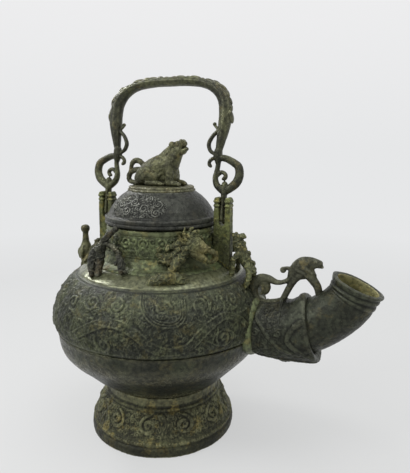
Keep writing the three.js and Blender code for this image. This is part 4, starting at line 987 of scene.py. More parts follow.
crest_shells = [
    # The bird's back and head, its thigh, its two legs and its bent tail with a knob
    limb(on_crest((26, 23.8), (29.5, 31.8), (36, 38.2), (44, 40.4), (51.5, 40.2)),
         [(3.6, 3.4), (5.6, 4.2), (6.4, 4.4), (5.2, 4), (3.2, 3)]),
    limb(on_crest((34, 36.8), (41, 31.8), (45, 27.8)), [(6, 4), (6.4, 4), (4.8, 3.8)]),
    limb(on_crest((41, 31.8), (46, 24.8), (51, 17.3), (53.6, 3.8)),
         [(5.8, 3.8), (4.4, 3.8), (3.6, 3.4), (3.2, 3.2)]),
    limb(on_crest((39, 29.8), (32, 26.2), (26, 16.8), (17, -3.2)),
         [(5.4, 3.8), (4.2, 3.8), (3.2, 3.4), (3.0, 3)]),
    limb(on_crest((29, 28.3), (24.6, 32.8), (19.4, 32.4)), [(2.6, 2.8), (1.8, 2.4), (1.8, 2.4)]),
    ball(on_crest((18.6, 30.8))[0], 3.1, (1, 0.9, 1)),
    # The leaf scroll that its body runs back into, and the leaf's end with a rib on each side
    limb(on_crest((27, 24.8), (21, 20.2), (13.5, 18.4), (5, 20.8), (-3, 19.8), (-8.2, 13.8)),
         [(2.6, 3.4), (2.2, 3.2), (2.4, 3.4), (3.8, 3.8), (5, 4), (4.6, 3.8)]),
    limb(on_crest((-6.6, 17.8), (-9, 8.8), (-6, 0.4), (2, -2.6), (12, -0.8), (19, 1.8)),
         [(4.8, 3.8), (4.2, 3.8), (3.6, 3.6), (3.1, 3.4), (2.9, 3.2)]),
    limb(on_crest((-1, 18.8), (3.4, 13.6), (2.4, 8.4), (0.4, 7.0)),
         [(4.8, 3.8), (4.2, 3.4), (3.4, 3), (2, 2.6)]),
    limb(on_crest((-2, 16), (0.6, 10.4), (-1.2, 5.4), y=2.6), [(1, 1.2), (1.1, 1.3), (0.7, 1)]),
    limb(on_crest((-2, 16), (0.6, 10.4), (-1.2, 5.4), y=-2.6), [(1, 1.2), (1.1, 1.3), (0.7, 1)]),
    limb(on_crest((44, 36), (48, 38.4), (53.6, 37.2)), [(3.2, 3.2), (3, 3), (1.6, 2.2)]),
]
for near in (-1, 1):
    # An eye and two wing feathers
    crest_shells += [
        ball(on_crest((49, 41.6), y=near * 2.9)[0], 1.3),
        limb(on_crest((33, 36.5), (40, 34.5), (46, 31.0), y=near * 3.9), [(1.6, 0.9), (2, 1), (0.9, 0.7)]),
        limb(on_crest((31, 33), (37, 30.5), (42, 27.0), y=near * 3.6), [(1.3, 0.9), (1.6, 1), (0.8, 0.7)]),
    ]
crest = fused("spout_bird", crest_shells, 0.55, 3)
pit_and_wear(crest, wave=0.15, pits=0.14, seed=16, rounds=8, depth=0.35)
finished(crest, crest_patina, "vessel", "spout_bronze", "spout_crest")

# Lugs and pins: two slotted bronze posts brazed to the shoulder, each with a moulded cap, a
# rounded cheek beside its slot, and the riveted pin that the bail swings on.

lug_patina = bronze("lug_patina", "24261a", "4c4f35", "6a7044", "949470", "80783c", 0.75, 0.44, 0.4, 8.5)


def recast(name, node, grain, rounds):
    """A CAD node's own shape, melted into a finer mesh with soft edges."""
    rough = in_scene(name + "_wax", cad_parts[node].data.copy())
    weld = rough.modifiers.new("weld", "WELD")
    weld.merge_threshold = 0.00001
    return melted(name, rough, grain, rounds)


PANEL_TOP = 224
for side_name, side in (("left", -1), ("right", 1)):
    lug = recast("lug_post_" + side_name, "lug_" + side_name, 0.5, 2)
    points = in_millimetres(of_points(lug.data, "co"))
    normals = of_points(lug.data, "normal")
    z = points[:, 2]
    # Two mouldings under the cap, with a groove under each, and scrolls down the outer faces
    lift = -sum(groove(z, *mark) for mark in (
        (237.6, 0.9, 0.7), (233.4, 0.7, 0.55), (235.6, 0.7, -0.5), (231.6, 0.7, -0.4),
    ))
    panel = np.array([noise.noise(Vector((x * 0.28, 3.0 * side, h * 0.24)))
                      for x, h in zip(points[:, 0], z)])
    carving = np.where(z < PANEL_TOP, 0.3 * np.clip(1 - np.abs(panel) * 5, 0, 1), 0)
    lift += carving * (np.abs(normals[:, 1]) > 0.8)
    lift *= np.abs(normals[:, 2]) < 0.6
    reshape(lug.data, in_metres(points + normals * lift[:, None]))
    pit_and_wear(lug, wave=0.1, pits=0.16, seed=18 + side, rounds=8, depth=0.35)
    finished(lug, lug_patina, "vessel", "neck_bronze", "lug_" + side_name)
    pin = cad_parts["pivot_pin_" + side_name]
    pin.material_slots[0].material = crest_patina

# Beasts: small solid bronze castings riveted on. Each is modelled as wax limbs melted
# together. Two stand outside the lugs, four climb from the shoulder to the lid's edge.

beast_patina = bronze(
    "beast_patina", "1f2018", "4a4a39", "646548", "98957a", "6b5f38", 0.55, 0.36, 0.45, 3.3)
climber_patina = bronze(
    "climber_patina", "25261c", "4c4f39", "686d4c", "a29863", "7d723e", 0.5, 0.42, 0.34, 4.1)
dark_patina = bronze(
    "dark_climber_patina", "191a17", "2f302a", "444638", "7d7c66", "5b4f35", 0.5, 0.4, 0.3, 2.3)
LUG_FACE = 73.2
NECK_FOOT = 179.4


def standing_beast(side, spine, sizes, legs, head):
    """A beast that leans on the outer face of a lug. Points run out from the lug, across,
    and up from the neck's foot."""
    def at(point):
        return (side * (LUG_FACE + point[0]), point[1], NECK_FOOT + point[2])

    shells = [limb([at(p) for p in spine], sizes)]
    for across in (-1, 1):
        for leg in legs:
            path = [at((x, across * y, z)) for x, y, z in leg]
            shells.append(limb(path, [(3.6, 3.4), (2.8, 2.8), (2.4, 2.6)]))
        for (x, y, z), radius in head:
            shells.append(ball(at((x, across * y, z)), radius))
    return shells, at


spout_beast_shells, at = standing_beast(
    1,
    [(24, 0, -8.3), (19, 0, -2.3), (14.6, 0, 5.7), (10.4, 0, 14.7), (7.4, 0, 23.7)],
    [(2.4, 2.4), (4.6, 5), (5.8, 6.2), (5.6, 6), (4.4, 5)],
    [[(12.6, 3, 10.7), (7.0, 8, 4.7), (5.4, 9, -9)], [(18.6, 3, -0.3), (22.0, 7, -9.3), (19.6, 9, -19)]],
    [((8.6, 3.2, 26.0), 1.7), ((4.6, 3.4, 27.0), 1.9)],
)
spout_beast_shells += [
    limb([at((7.0, 0, 21.7)), at((10.6, 0, 25.4)), at((13.4, 0, 26.0))],
         [(4.0, 4.2), (3.2, 3.6), (2.4, 3.0)]),
    ball(at((13.6, 0, 27.2)), 1.9, (1, 1.2, 0.8)),
]
for rib, size in enumerate((2.6, 1.8, 2.8, 2.0, 2.4)):
    s = rib / 4
    spout_beast_shells.append(ball(at((22.6 - 9.6 * s, 2.4 * (-1) ** rib, 0.5 + 18.0 * s)), size))
spout_beast = fused("spout_side_guardian", spout_beast_shells)
pit_and_wear(spout_beast, wave=0.6, pits=0.5, seed=21, rounds=7, depth=0.3, curls=0.7)
finished(spout_beast, climber_patina, "vessel", "beast_bronze", "spout_side_beast")

tail_beast_shells, at = standing_beast(
    -1,
    [(17, 0, -13.3), (14, 0, -8.3), (9.6, 0, -4.3), (5, 0, 0.7), (3.6, 0, 6.7)],
    [(4, 4), (5.6, 6), (6.4, 6.8), (6.0, 6.4), (4.4, 4.8)],
    [[(4.6, 4, -2.3), (7.6, 9, -8.3), (6.6, 11, -14)], [(14.6, 4, -9.3), (18.0, 9, -16.3), (17.6, 11, -22)]],
    [((5.6, 3.0, 8.6), 1.6), ((2.6, 3.2, 9.4), 1.7)],
)
tail_beast = fused("tail_side_guardian", tail_beast_shells)
pit_and_wear(tail_beast, wave=0.5, pits=0.5, seed=22, rounds=7, depth=0.3, curls=0.6)
finished(tail_beast, beast_patina, "vessel", "beast_bronze", "tail_side_beast")

STEM_OUT = -94.0
baluster_outline = eased([
    (0, 157), (5.6, 157), (5.6, 164), (7.4, 172), (6.9, 178), (5.6, 181.5), (3.8, 186), (3.0, 194),
    (3.2, 196.2), (4.6, 198.0), (4.8, 201), (3.8, 203.2), (2.2, 204), (0, 204.2),
], 0.8)
stem_points, stem_faces = turned(traced(baluster_outline, 1.0), 28)
baluster_shells = [(stem_points + (STEM_OUT, 0, 0), stem_faces)]
for near in (-1, 1):
    baluster_shells += [
        limb([(STEM_OUT + near * out, 0, z) for out, z in ((5.0, 180), (8.0, 174), (7.8, 167.5))],
             [(1.7, 1.8), (2.9, 2.6), (1.6, 1.8)]),
        limb([(STEM_OUT, near * out, z) for out, z in ((5.0, 181), (7.6, 175), (6.8, 167))],
             [(1.4, 1.8), (1.9, 2.4), (1.4, 1.6)], side=(1, 0, 0)),
    ]
baluster = fused("tail_stem", baluster_shells, 0.45)
pit_and_wear(baluster, wave=0.1, pits=0.15, seed=23, rounds=8, depth=0.35)
finished(baluster, beast_patina, "vessel", "beast_bronze", "tail_baluster")


def climber(place, side_x, side_y, limbs, lumps, face, patina, seed):
    """A climbing beast. Its points are millimetres from the pot's axis, degrees from the
    nearer lug, and height, so that one list serves the front and the back of the pot."""
    def at(point):
        radius, degrees, height = point
        turn = math.radians(degrees)
        return (side_x * radius * math.cos(turn), side_y * radius * math.sin(turn), height)

    shells = [limb([at(p) for p in path], [(r, r) for r in sizes], (0, 0, 1), 12) for path, sizes in limbs]
    shells += [ball(at(p), r) for p, r in lumps]
    beast = fused("climbing_beast_" + place, shells)
    # Ochre earth sits about the face
    centre = np.array(at(face))
    pit_and_wear(beast, wave=0.5, pits=0.5, seed=seed, rounds=7, depth=0.3, curls=0.8,
                 pale_and_sheen=lambda p: np.interp(np.linalg.norm(p - centre, axis=1), [4, 12], [0.7, 0]))
    finished(beast, patina, "vessel", "beast_bronze", "climber_" + place)


# Each limb is its path and its radii, each lump its place and radius
left_limbs = [
    ([(60.6, 74, 213.8), (63, 69.6, 209.6), (66.4, 65, 203), (69.6, 63.6, 192), (72.4, 65, 181),
      (76, 67.4, 173)], [2.4, 2.5, 2.9, 4.2, 3.4, 2.7]),
    ([(69, 64, 197), (73, 60, 190), (76, 60, 182), (78.6, 63, 172)], [3.4, 4.8, 4.4, 2.6]),
    ([(65, 80, 190.5), (66.4, 84, 186), (68.6, 86, 181.4), (70.4, 87, 177.6)], [2.0, 3.2, 3.8, 2.8]),
    ([(66, 67, 200), (63, 73, 197), (62, 79, 192)], [2.4, 2.2, 1.6]),
]
left_lumps = [((73.6, 66.5, 196), 2.8), ((68.4, 81, 184.4), 2.2), ((71.5, 91, 178.4), 2.0)]
right_limbs = [
    ([(70, 57, 178), (65, 52, 183.4), (61.6, 46, 192), (61.8, 40, 201)], [3.0, 4.2, 5.2, 6.2]),
    ([(62.0, 38.4, 203.4), (65.0, 34.6, 200.4), (68.2, 30.6, 198.0)], [7.4, 8.2, 5.8]),
    ([(60.6, 44, 197), (60.0, 51, 192.6), (59.4, 58, 191), (58.8, 66, 192.6)], [5.0, 4.2, 3.2, 1.8]),
    ([(60.0, 46, 203), (58.8, 52, 200), (58.2, 58, 200.4)], [3.6, 2.8, 1.6]),
    ([(66, 37, 195), (69, 32, 190.6), (70.6, 29, 188.4)], [4.4, 3.8, 2.6]),
    ([(70, 27.4, 197), (72.4, 22.6, 194), (72.8, 20.0, 189), (71.6, 22.6, 184.8), (69.4, 26.4, 186)],
     [2.2, 2.5, 2.4, 2.2, 1.8]),
    ([(74, 47, 170.5), (74, 53, 174.4), (74, 61, 174.8), (74.6, 67, 172), (76, 71, 169.6)],
     [4.2, 5.4, 5.4, 4.4, 2.8]),
    ([(64, 47, 189), (61.6, 55, 186), (61.4, 64, 187)], [4.2, 3.2, 1.8]),
    ([(63, 49, 198), (61, 53, 192), (61.4, 60, 189)], [2.4, 2.2, 1.4]),
]
# A spiky mane stands off the head
for k in range(13):
    tilt = math.radians(-25 + 19 * k)
    reach = 10.5 + 3.0 * (k % 2) - 0.5 * (k % 3)
    out = 65.4 - 1.6 * (k % 2)
    right_limbs.append(([
        (out, 38.4 + 3.4 * math.cos(tilt), 205 + 4 * math.sin(tilt)),
        (out, 38.4 + reach * 0.6 * math.cos(tilt + 0.22), 205 + reach * 0.72 * math.sin(tilt + 0.22)),
        (out, 38.4 + reach * 0.86 * math.cos(tilt + 0.55), 205 + reach * math.sin(tilt + 0.55)),
    ], [1.9, 1.4, 0.8]))
right_lumps = [
    ((69, 35.4, 204.6), 2.1), ((69.2, 30.4, 202.6), 2.0), ((72, 26.2, 198.4), 1.8), ((74, 52, 177.6), 2.4),
    ((66.4, 42.6, 199.6), 2.6), ((68.6, 36.4, 196.4), 2.2),
]
# Its worn flank breaks up into lumps along the neck
rng = np.random.default_rng(9)
for k in range(12):
    right_lumps.append(((60.4 - 0.15 * k, 45 + 1.8 * k, rng.uniform(188, 198)), rng.uniform(1.8, 2.6)))
for place, side_y, seed in (("left_front", -1, 24), ("left_back", 1, 25)):
    climber(place, -1, side_y, left_limbs, left_lumps, (66, 78, 200), dark_patina, seed)
for place, side_y, seed in (("right_front", -1, 26), ("right_back", 1, 27)):
    climber(place, 1, side_y, right_limbs, right_lumps, (70, 31, 197), climber_patina, seed)

# Lid: a loose bronze dome with a grooved rim and a carved patch on each side, a stepped
# plinth and the seated beast that serves as its knob, brazed on. The flange under it drops
# into the neck.

LID_TURNS = 560
LID_MEAN = 48
LID_BAND = (224.6, 243.4)
lid_patina = bronze(
    "lid_patina", "1a1b19", "30312d", "42443c", "888a80", "524d3c", 0.25, 0.3, 0.7, 5.2, 0.2)
lid_outside = np.array([
    (50.05, 204.2), (50.05, 212.8), (52.8, 212.95), (54.0, 214.1), (55.6, 214.3), (56.1, 215.0),
    (56.0, 216.6), (55.1, 217.5), (56.0, 218.4), (56.0, 221.0), (55.0, 222.2), (53.2, 222.5),
    (52.2, 224.2), (49.6, 229.4), (45.4, 235.2), (40.0, 240.6), (35.6, 243.6), (33.8, 245.0), (33.0, 245.5),
])
lid_inside = np.array([
    (0, 242.5), (30, 242.3), (37.4, 238.6), (43.6, 233.0), (47.6, 226.6), (49.0, 221.0), (47.5, 212.9),
    (47.45, 204.2),
])
lid_skin = traced(eased(lid_outside, 0.7), 0.75)
lid_under = traced(eased(lid_inside, 0.8), 4)
lid_up = arc_lengths(lid_skin)
lid_around = turns_of(LID_TURNS) * LID_MEAN
lid_low, lid_high = np.interp(LID_BAND, lid_skin[:, 1], lid_up)
lid_relief = np.zeros((len(lid_skin), LID_TURNS))
lid_strokes = []
for turn in (-90, 90):
    for k, (degrees, share) in enumerate((
        (-38, 0.3), (-24, 0.5), (-28, 0.8), (-12, 0.24), (-6, 0.62), (8, 0.36), (12, 0.78), (22, 0.2),
        (-42, 0.6), (24, 0.55),
    )):
        x = math.radians((turn + degrees) % 360) * LID_MEAN
        y = lid_low + share * (lid_high - lid_low)
        hand = 1 if k % 2 else -1
        lid_strokes.append(curl(x, y, 4.2, 1.6, k * 1.3, hand, 0.8, 1.0, 0.2, 6.0))
raise_strokes(lid_relief, lid_around, lid_up, lid_strokes)
for spacing, size, seed, rise in ((3.0, 1.5, 51, 0.95), (2.0, 0.95, 52, 0.7)):
    fill_with_scrolls(lid_relief, lid_around, lid_up, lid_low, lid_high, spacing, size, seed, rise)
lid_turn = np.degrees(lid_around / LID_MEAN)[None, :]
lid_share = ((lid_up - lid_low) / (lid_high - lid_low))[:, None]
patches = []
for centre in (266, 86):
    # Each patch is a disc laid on the dome
    off_middle = np.hypot(((lid_turn - centre + 180) % 360 - 180) / 40, (lid_share - 0.45) / 0.6)
    patches.append(np.clip((1 - off_middle) / 0.08, 0, 1))
lid_relief = 1.1 * (lid_relief - 0.2) * np.maximum(*patches)
lid_ring = np.r_[lid_under, lid_skin, [(20, 245.5), (0, 245.5)]]
lid_relief = np.r_[np.zeros((len(lid_under), LID_TURNS)), lid_relief]
lid = drawn("lid_casting", *turned(lid_ring, LID_TURNS, lid_relief))
pit_and_wear(lid, wave=0.2, pits=0.1, seed=30, rounds=10)
finished(lid, lid_patina, "lid", "lid_bronze", "lid_dome")

plinth_outline = [
    (0, 245.4), (32.6, 245.4), (33.2, 246.0), (33.0, 246.8), (31.8, 247.3), (31.6, 248.3), (32.0, 248.7),
    (31.6, 249.4), (30.4, 249.8), (0, 249.8),
]
plinth = drawn("lid_plinth_ring", *turned(traced(eased(plinth_outline, 0.5), 1.2), 400))
pit_and_wear(plinth, wave=0.25, pits=0.3, seed=31, rounds=6, depth=0.3, curls=0.5,
             pale_and_sheen=lambda p: np.full(len(p), 0.35))
finished(plinth, beast_patina, "lid", "lid_bronze", "lid_plinth")

PLINTH_TOP = 249.9
STATURE = 1.045


def on_lid(*points, side=1):
    """Points out from the lid's middle, across to one side, and up from the plinth."""
    return [(x, side * y, PLINTH_TOP + z * STATURE) for x, y, z in points]


knob_shells = [
    # Its trunk, breast, neck and belly, the upper and the lower jaw
    limb(on_lid((-20, 0, 8), (-12, 0, 12.5), (-2, 0, 16), (7, 0, 19.6), (13, 0, 26), (18, 0, 33)),
         [(8.6, 9.6), (11.6, 11.6), (12.8, 12), (11.4, 10.4), (8.6, 8.2), (6.6, 6.8)]),
    limb(on_lid((14, 0, 26), (11.6, 0, 14), (9, 0, 4)), [(5, 6), (5, 7.6), (4, 7)]),
    limb(on_lid((-1, 0, 21), (6, 0, 26.6), (12.4, 0, 33)), [(7, 7.4), (7, 7), (6, 6.2)]),
    limb(on_lid((-6, 0, 8), (3, 0, 8), (11, 0, 9)), [(6, 8.6), (7, 8.6), (6, 8)]),
    limb(on_lid((16.4, 0, 36), (21, 0, 38), (24.2, 0, 39)), [(5.6, 5.8), (4.6, 5), (3.4, 4.2)]),
    limb(on_lid((17, 0, 31), (23, 0, 32), (26.8, 0, 34)), [(4.8, 5.4), (3.4, 4.6), (2.1, 3.4)]),
    # The two strands of its curled tail, and the ground it sits on
    limb(on_lid((-18, 0, 14), (-20.8, 0, 19.6), (-27, 0, 23.2), (-32.6, 0, 21), (-35.4, 0, 14.4)),
         [(2.8, 2.8), (2.8, 2.8), (2.9, 2.9), (2.7, 2.8), (1.6, 1.8)]),
    limb(on_lid((-22, 0, 14.6), (-29, 0, 14.2), (-34.6, 0, 12), (-37.4, 0, 7.4), (-36.2, 0, 3.4),
                (-31, 0, 2.0)),
         [(3.0, 3.0), (2.9, 2.8), (2.7, 2.8), (2.5, 2.6), (2.2, 2.4)]),
    limb(on_lid((-24, 0, 2.2), (-6, 0, 2.6), (11, 0, 2.4)), [(2.4, 9), (2.6, 11), (2.4, 9)]),
]
for near in (-1, 1):
    # A brow, a nostril, a foreleg and its paw, a haunch and its foot, and a fold of the flank
    knob_shells += [
        ball(on_lid((14.0, 4.6, 38.2), side=near)[0], 3.2),
        ball(on_lid((23.0, 2.4, 40.8), side=near)[0], 2.6),
        limb(on_lid((10, 6.2, 20), (12.2, 7, 10), (11.6, 7.2, 3.2), side=near),
             [(4.6, 3.8), (4.2, 3.6), (3.8, 3.6)]),
        limb(on_lid((11, 7.2, 3.0), (17, 7.4, 2.9), (21.4, 7.4, 2.3), side=near),
             [(3, 3.4), (2.9, 3.3), (2.2, 2.8)]),
        limb(on_lid((-20, 8, 6), (-12, 9.6, 11), (-3, 9.4, 8.6), side=near),
             [(6, 4.4), (9, 5.2), (5.8, 4.6)]),
        limb(on_lid((-10, 10.4, 3), (-1, 10.8, 2.9), (6, 10.4, 2.1), side=near),
             [(3, 3.2), (2.8, 3.1), (1.9, 2.5)]),
        limb(on_lid((-3, 9.4, 21), (4, 9.2, 15), (2, 10, 9), side=near),
             [(1.4, 1.2), (1.8, 1.4), (1.0, 1)]),
    ]
    # A short mane hangs in locks behind the jaw
    for k in range(3):
        lock = on_lid((12.4 + 3 * k, 6.2 - 0.5 * k, 35.5 - 1.4 * k), (12.2 + 2.4 * k, 7.2, 29.6 - k),
                      (9.8 + 2.6 * k, 7.6, 24.2 - k), side=near)
        knob_shells.append(limb(lock, [(1.4, 1.2), (1.5, 1.2), (0.7, 0.7)]))
    knob_shells += [ball(on_lid((22.6, 7.4 + 1.7 * toe, 1.9), side=near)[0], 1.4) for toe in (-1, 0, 1)]
knob = fused("lid_seated_beast", knob_shells)
pit_and_wear(knob, wave=0.3, pits=0.26, seed=32, rounds=8, depth=0.35, curls=0.25)
finished(knob, beast_patina, "lid", "beast_bronze", "lid_beast")

# Bail: a ridged bronze bar bent over the lid, its crown carved with leaves, and at each end
# an openwork scroll, brazed on, with the flat tang that swings on the pin in the lug's slot.

bail_patina = bronze("bail_patina", "191a15", "34352a", "55573e", "8c8b6e", "5c5232", 0.55, 0.3, 0.42, 6.0)
LEAN = math.radians(9)
BAIL_SIDE = (0, math.cos(LEAN), -math.sin(LEAN))
pin_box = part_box("pivot_pin_left")
PIN_LINE = (pin_box[0].z + pin_box[1].z) * 500


def on_bail(across, up):
    """A place on the bail as drawn upright, with the pins at height 0, leaned back to rest."""
    return (across, up * math.sin(LEAN), PIN_LINE + up * math.cos(LEAN))


ARCH_TOP = 136
ARCH_REACH = 60.7
BAR_HALF = 4.2
NODE_X, NODE_UP = 56.0, 59.5
right_leg = [
    (0, 1), (0.34, 0.995), (0.64, 0.95), (0.84, 0.865), (0.96, 0.735), (1, 0.57), (0.995, 0.4),
    (0.965, 0.22),
]
arch_rise = ARCH_TOP - BAR_HALF - NODE_UP
arch = [(x * ARCH_REACH, NODE_UP + z * arch_rise) for x, z in right_leg] + [(NODE_X, NODE_UP)]
arch = [(-x, up) for x, up in arch[:0:-1]] + arch
arch_line = catmull([on_bail(x, up) for x, up in arch], 170)
half_sizes = [(2.6, 3.2), (5.7, 6), (5.7, 6), (BAR_HALF, 6)]
arch_sizes = catmull(half_sizes + [(BAR_HALF, 6)] + half_sizes[::-1], 170)
out_way = np.cross(BAIL_SIDE, directions(arch_line))
turn = turns_of(56)
# The section is a rounded square with a raised ridge along the back of the bar
square = (np.abs(np.cos(turn)) ** 3.6 + np.abs(np.sin(turn)) ** 3.6) ** (-1 / 3.6)
wide = arch_sizes[:, :1] * np.cos(turn) * square
deep = arch_sizes[:, 1:] * np.sin(turn) * square
edge_line = 0.5 * np.abs(np.cos(turn)) ** 14
face_line = np.sin(turn) * np.abs(np.sin(turn)) ** 14
rings = (arch_line[:, None] + out_way[:, None] * (wide * (0.95 + edge_line / 5.7))[..., None]
         + np.array(BAIL_SIDE) * (deep * 0.9 + 0.8 * face_line)[..., None])
arch_bar = drawn("bail_bar", *lofted(rings))
pit_and_wear(arch_bar, wave=0.5, pits=0.16, seed=33, rounds=9, depth=0.35)
finished(arch_bar, bail_patina, "bail", "bail_bronze", "bail_arch")

# Leaves carved along the back of the crown. Each is 5.6 mm long, 3.2 wide and 1.9 high, and
# they lean to one side and the other by turns.
LEAVES = 24
LEAF_SEED = 3
leaf_tree, leaf_inputs, given = sown("bail_leaf", [
    ("Path", "Geometry"), ("Leaves", "Int", LEAVES), ("Leaf Length", "Float", 0.0056),
    ("Leaf Width", "Float", 0.0032), ("Leaf Rise", "Float", 0.0019), ("Splay", "Float", 0.55),
    ("Seed", "Int", LEAF_SEED),
])
crown_curve = added(leaf_tree, "GeometryNodeMeshToCurve", {"Mesh": given["Path"]})
leaf_places = added(leaf_tree, "GeometryNodeResampleCurve", {
    "Curve": crown_curve.outputs["Curve"], "Count": given["Leaves"],
})
leaf_ball = added(leaf_tree, "GeometryNodeMeshIcoSphere", {"Subdivisions": 3, "Radius": 1.0})
leaf_size = added(leaf_tree, "ShaderNodeCombineXYZ", {
    "X": given["Leaf Length"], "Y": given["Leaf Width"], "Z": given["Leaf Rise"],
})
leaf = added(leaf_tree, "GeometryNodeTransform", {
    "Geometry": leaf_ball.outputs["Mesh"], "Scale": leaf_size.outputs["Vector"],
})
crown_way = added(leaf_tree, "GeometryNodeInputTangent")
along_crown = added(leaf_tree, "FunctionNodeAlignEulerToVector", {"Vector": crown_way.outputs["Tangent"]},
                    axis="X", pivot_axis="Y")
leaf_index = added(leaf_tree, "GeometryNodeInputIndex")
every_second = maths(leaf_tree, "MODULO", leaf_index.outputs["Index"], 2)
leaf_side = spread(leaf_tree, every_second, 0.0, 1.0, -1.0, 1.0, "LINEAR")
leaf_splay = added(leaf_tree, "ShaderNodeCombineXYZ", {
    "Z": maths(leaf_tree, "MULTIPLY", leaf_side, given["Splay"]),
})
leaf_turn = added(leaf_tree, "FunctionNodeRotateEuler", {
    "Rotation": along_crown.outputs["Rotation"], "Rotate By": leaf_splay.outputs["Vector"],
}, space="LOCAL")
leaf_growth = added(leaf_tree, "FunctionNodeRandomValue", {2: 0.45, 3: 1.25, "Seed": given["Seed"]},
                    data_type="FLOAT")
leaf_row = added(leaf_tree, "GeometryNodeInstanceOnPoints", {
    "Points": leaf_places.outputs["Curve"], "Instance": leaf.outputs["Geometry"],
    "Rotation": leaf_turn.outputs["Rotation"], "Scale": leaf_growth.outputs[1],
})
coated(leaf_tree, leaf_row.outputs["Instances"], bail_patina)
crown = np.arange(len(arch_line))[28:-28]
crown_path = arch_line[crown] - out_way[crown] * (arch_sizes[crown, :1] * 0.97)
leaves = grown("bail_leaves", leaf_tree, leaf_inputs, {"Leaves": LEAVES, "Seed": LEAF_SEED}, crown_path)
pit_and_wear(leaves, pits=0.1, depth=0.3, rounds=4)
finished(leaves, bail_patina, "bail", "bail_bronze")

for side_name, side in (("left", -1), ("right", 1)):
    def sprig(*points):
        """Places inwards and up from where the bar meets the scroll."""
        return [on_bail(side * (NODE_X - inwards), NODE_UP + up) for inwards, up in points]

    sprigs = [
        limb(sprig((-1.5, 26), (2.6, 22.4), (6.6, 18.5), (10, 11.5), (8.6, 5.5), (6.0, 3.0), (1.0, 0)),
             [(2.2, 2.8), (1.9, 2.6), (2, 2.8), (1.9, 2.6), (1.7, 2.2)], BAIL_SIDE),
        limb(sprig((-1, 24), (3.4, 27), (5.4, 29.4)), [(1.9, 2.3), (1.4, 1.8), (1.4, 1.6)], BAIL_SIDE),
        ball(sprig((5.4, 30))[0], 2.0),
    ]
    tendrils = fused("bail_tendrils_" + side_name, sprigs, 0.45)
    pit_and_wear(tendrils, wave=0.1, pits=0.12, seed=40 + side, rounds=7, depth=0.3)
    finished(tendrils, bail_patina, "bail", "bail_bronze")

PIN_OUT = 65.0
TANG_TOP = 25.0
SCROLL_WIDTH = PIN_OUT + 14 - NODE_X
SCROLL_HEIGHT = NODE_UP - TANG_TOP
TANG = (PIN_OUT - NODE_X) / SCROLL_WIDTH
for side_name, side in (("left", -1), ("right", 1)):
    def scroll(*points):
        """Places out and up from the scroll's lower inner corner, as shares of its size."""
        return [on_bail(side * (NODE_X + out * SCROLL_WIDTH), TANG_TOP + up * SCROLL_HEIGHT)
                for out, up in points]

    def tang(*heights):
        return [on_bail(side * PIN_OUT, up) for up in heights]

    scroll_shells = [
        limb(scroll((0, 0.942), (0.348, 0.928), (0.696, 0.826), (0.939, 0.703), (1, 0.471), (0.887, 0.268),
                    (0.652, 0.123), (TANG, 0)),
             [(3, 3.6), (3.6, 3.8), (4.2, 3.8), (4.4, 3.8), (3.6, 3.8)], BAIL_SIDE),
        limb(scroll((0, 1), (0.043, 0.768), (0, 0.565), (-0.043, 0.384), (0.026, 0.21), (0.2, 0.094),
                    (TANG, 0)),
             [(2.4, 3), (2.4, 3), (2.7, 3.6), (3.3, 3.8), (3.4, 3.8)], BAIL_SIDE),
        limb(scroll((0, 0.442), (0.209, 0.546), (0.383, 0.5), (0.409, 0.41), (0.33, 0.37)),
             [(2.2, 2.8), (2, 2.8), (1.9, 2.6), (1.8, 2.4)], BAIL_SIDE),
        ball(scroll((0.38, 0.39))[0], 2.3),
        limb(scroll((0.043, 0.93), (-0.2, 0.92), (-0.348, 0.84), (-0.36, 0.745), (-0.3, 0.71)),
             [(2.0, 2.8), (1.8, 2.6), (1.7, 2.4), (1.6, 2.2)], BAIL_SIDE),
        ball(scroll((-0.32, 0.73))[0], 1.9),
        limb(scroll((0.017, 1.13), (0, 1), (0.026, 0.84)), [(3.8, 5.0), (4.4, 5.0), (3, 3.8)], BAIL_SIDE),
        limb(tang(TANG_TOP - 2, TANG_TOP + 7), [(3, 4.6), (4.4, 4.2), (3, 3.8)], BAIL_SIDE),
        limb(tang(TANG_TOP - 5.5, TANG_TOP - 3.5), [(2.6, 4.9), (2.6, 4.9)], BAIL_SIDE),
        limb(tang(0, 12, TANG_TOP), [(2.5, 4.6), (2.5, 4.6), (2.5, 4.6)], BAIL_SIDE, step=1.0),
    ]
    scroll_end = fused("bail_scroll_casting_" + side_name, scroll_shells)
    pit_and_wear(scroll_end, wave=0.1, pits=0.12, seed=35 + side, rounds=9, depth=0.35)
    finished(scroll_end, bail_patina, "bail", "bail_bronze", "bail_scroll_" + side_name)

# Floor, light and camera: a pale studio, seen from the photograph's place. The paper
# backdrop brightens from the foot of the kettle up to the top of the picture.


def looked_at(tree):
    """1 for the rays that see the backdrop: the camera's, mirrored ones and ones through glass."""
    sight = added(tree, "ShaderNodeLightPath")
    seen = sight.outputs["Is Camera Ray"]
    for ray in ("Is Glossy Ray", "Is Transmission Ray"):
        seen = maths(tree, "MAXIMUM", seen, sight.outputs[ray])
    return seen


studio = bpy.data.materials.new("studio_floor")
studio.use_nodes = True
tree = studio.node_tree
lit = wired(tree, tree.nodes["Principled BSDF"], {"Base Color": tint("dedede"), "Roughness": 0.9})
where = added(tree, "ShaderNodeTexCoord")
far = added(tree, "ShaderNodeVectorMath", {0: where.outputs["Object"]}, operation="LENGTH").outputs["Value"]
paper = blend(tree, spread(tree, far, 0.16, 1.24, course="LINEAR"), tint("d9dada"), tint("e6e7e8"))
glow = added(tree, "ShaderNodeEmission", {"Color": paper})
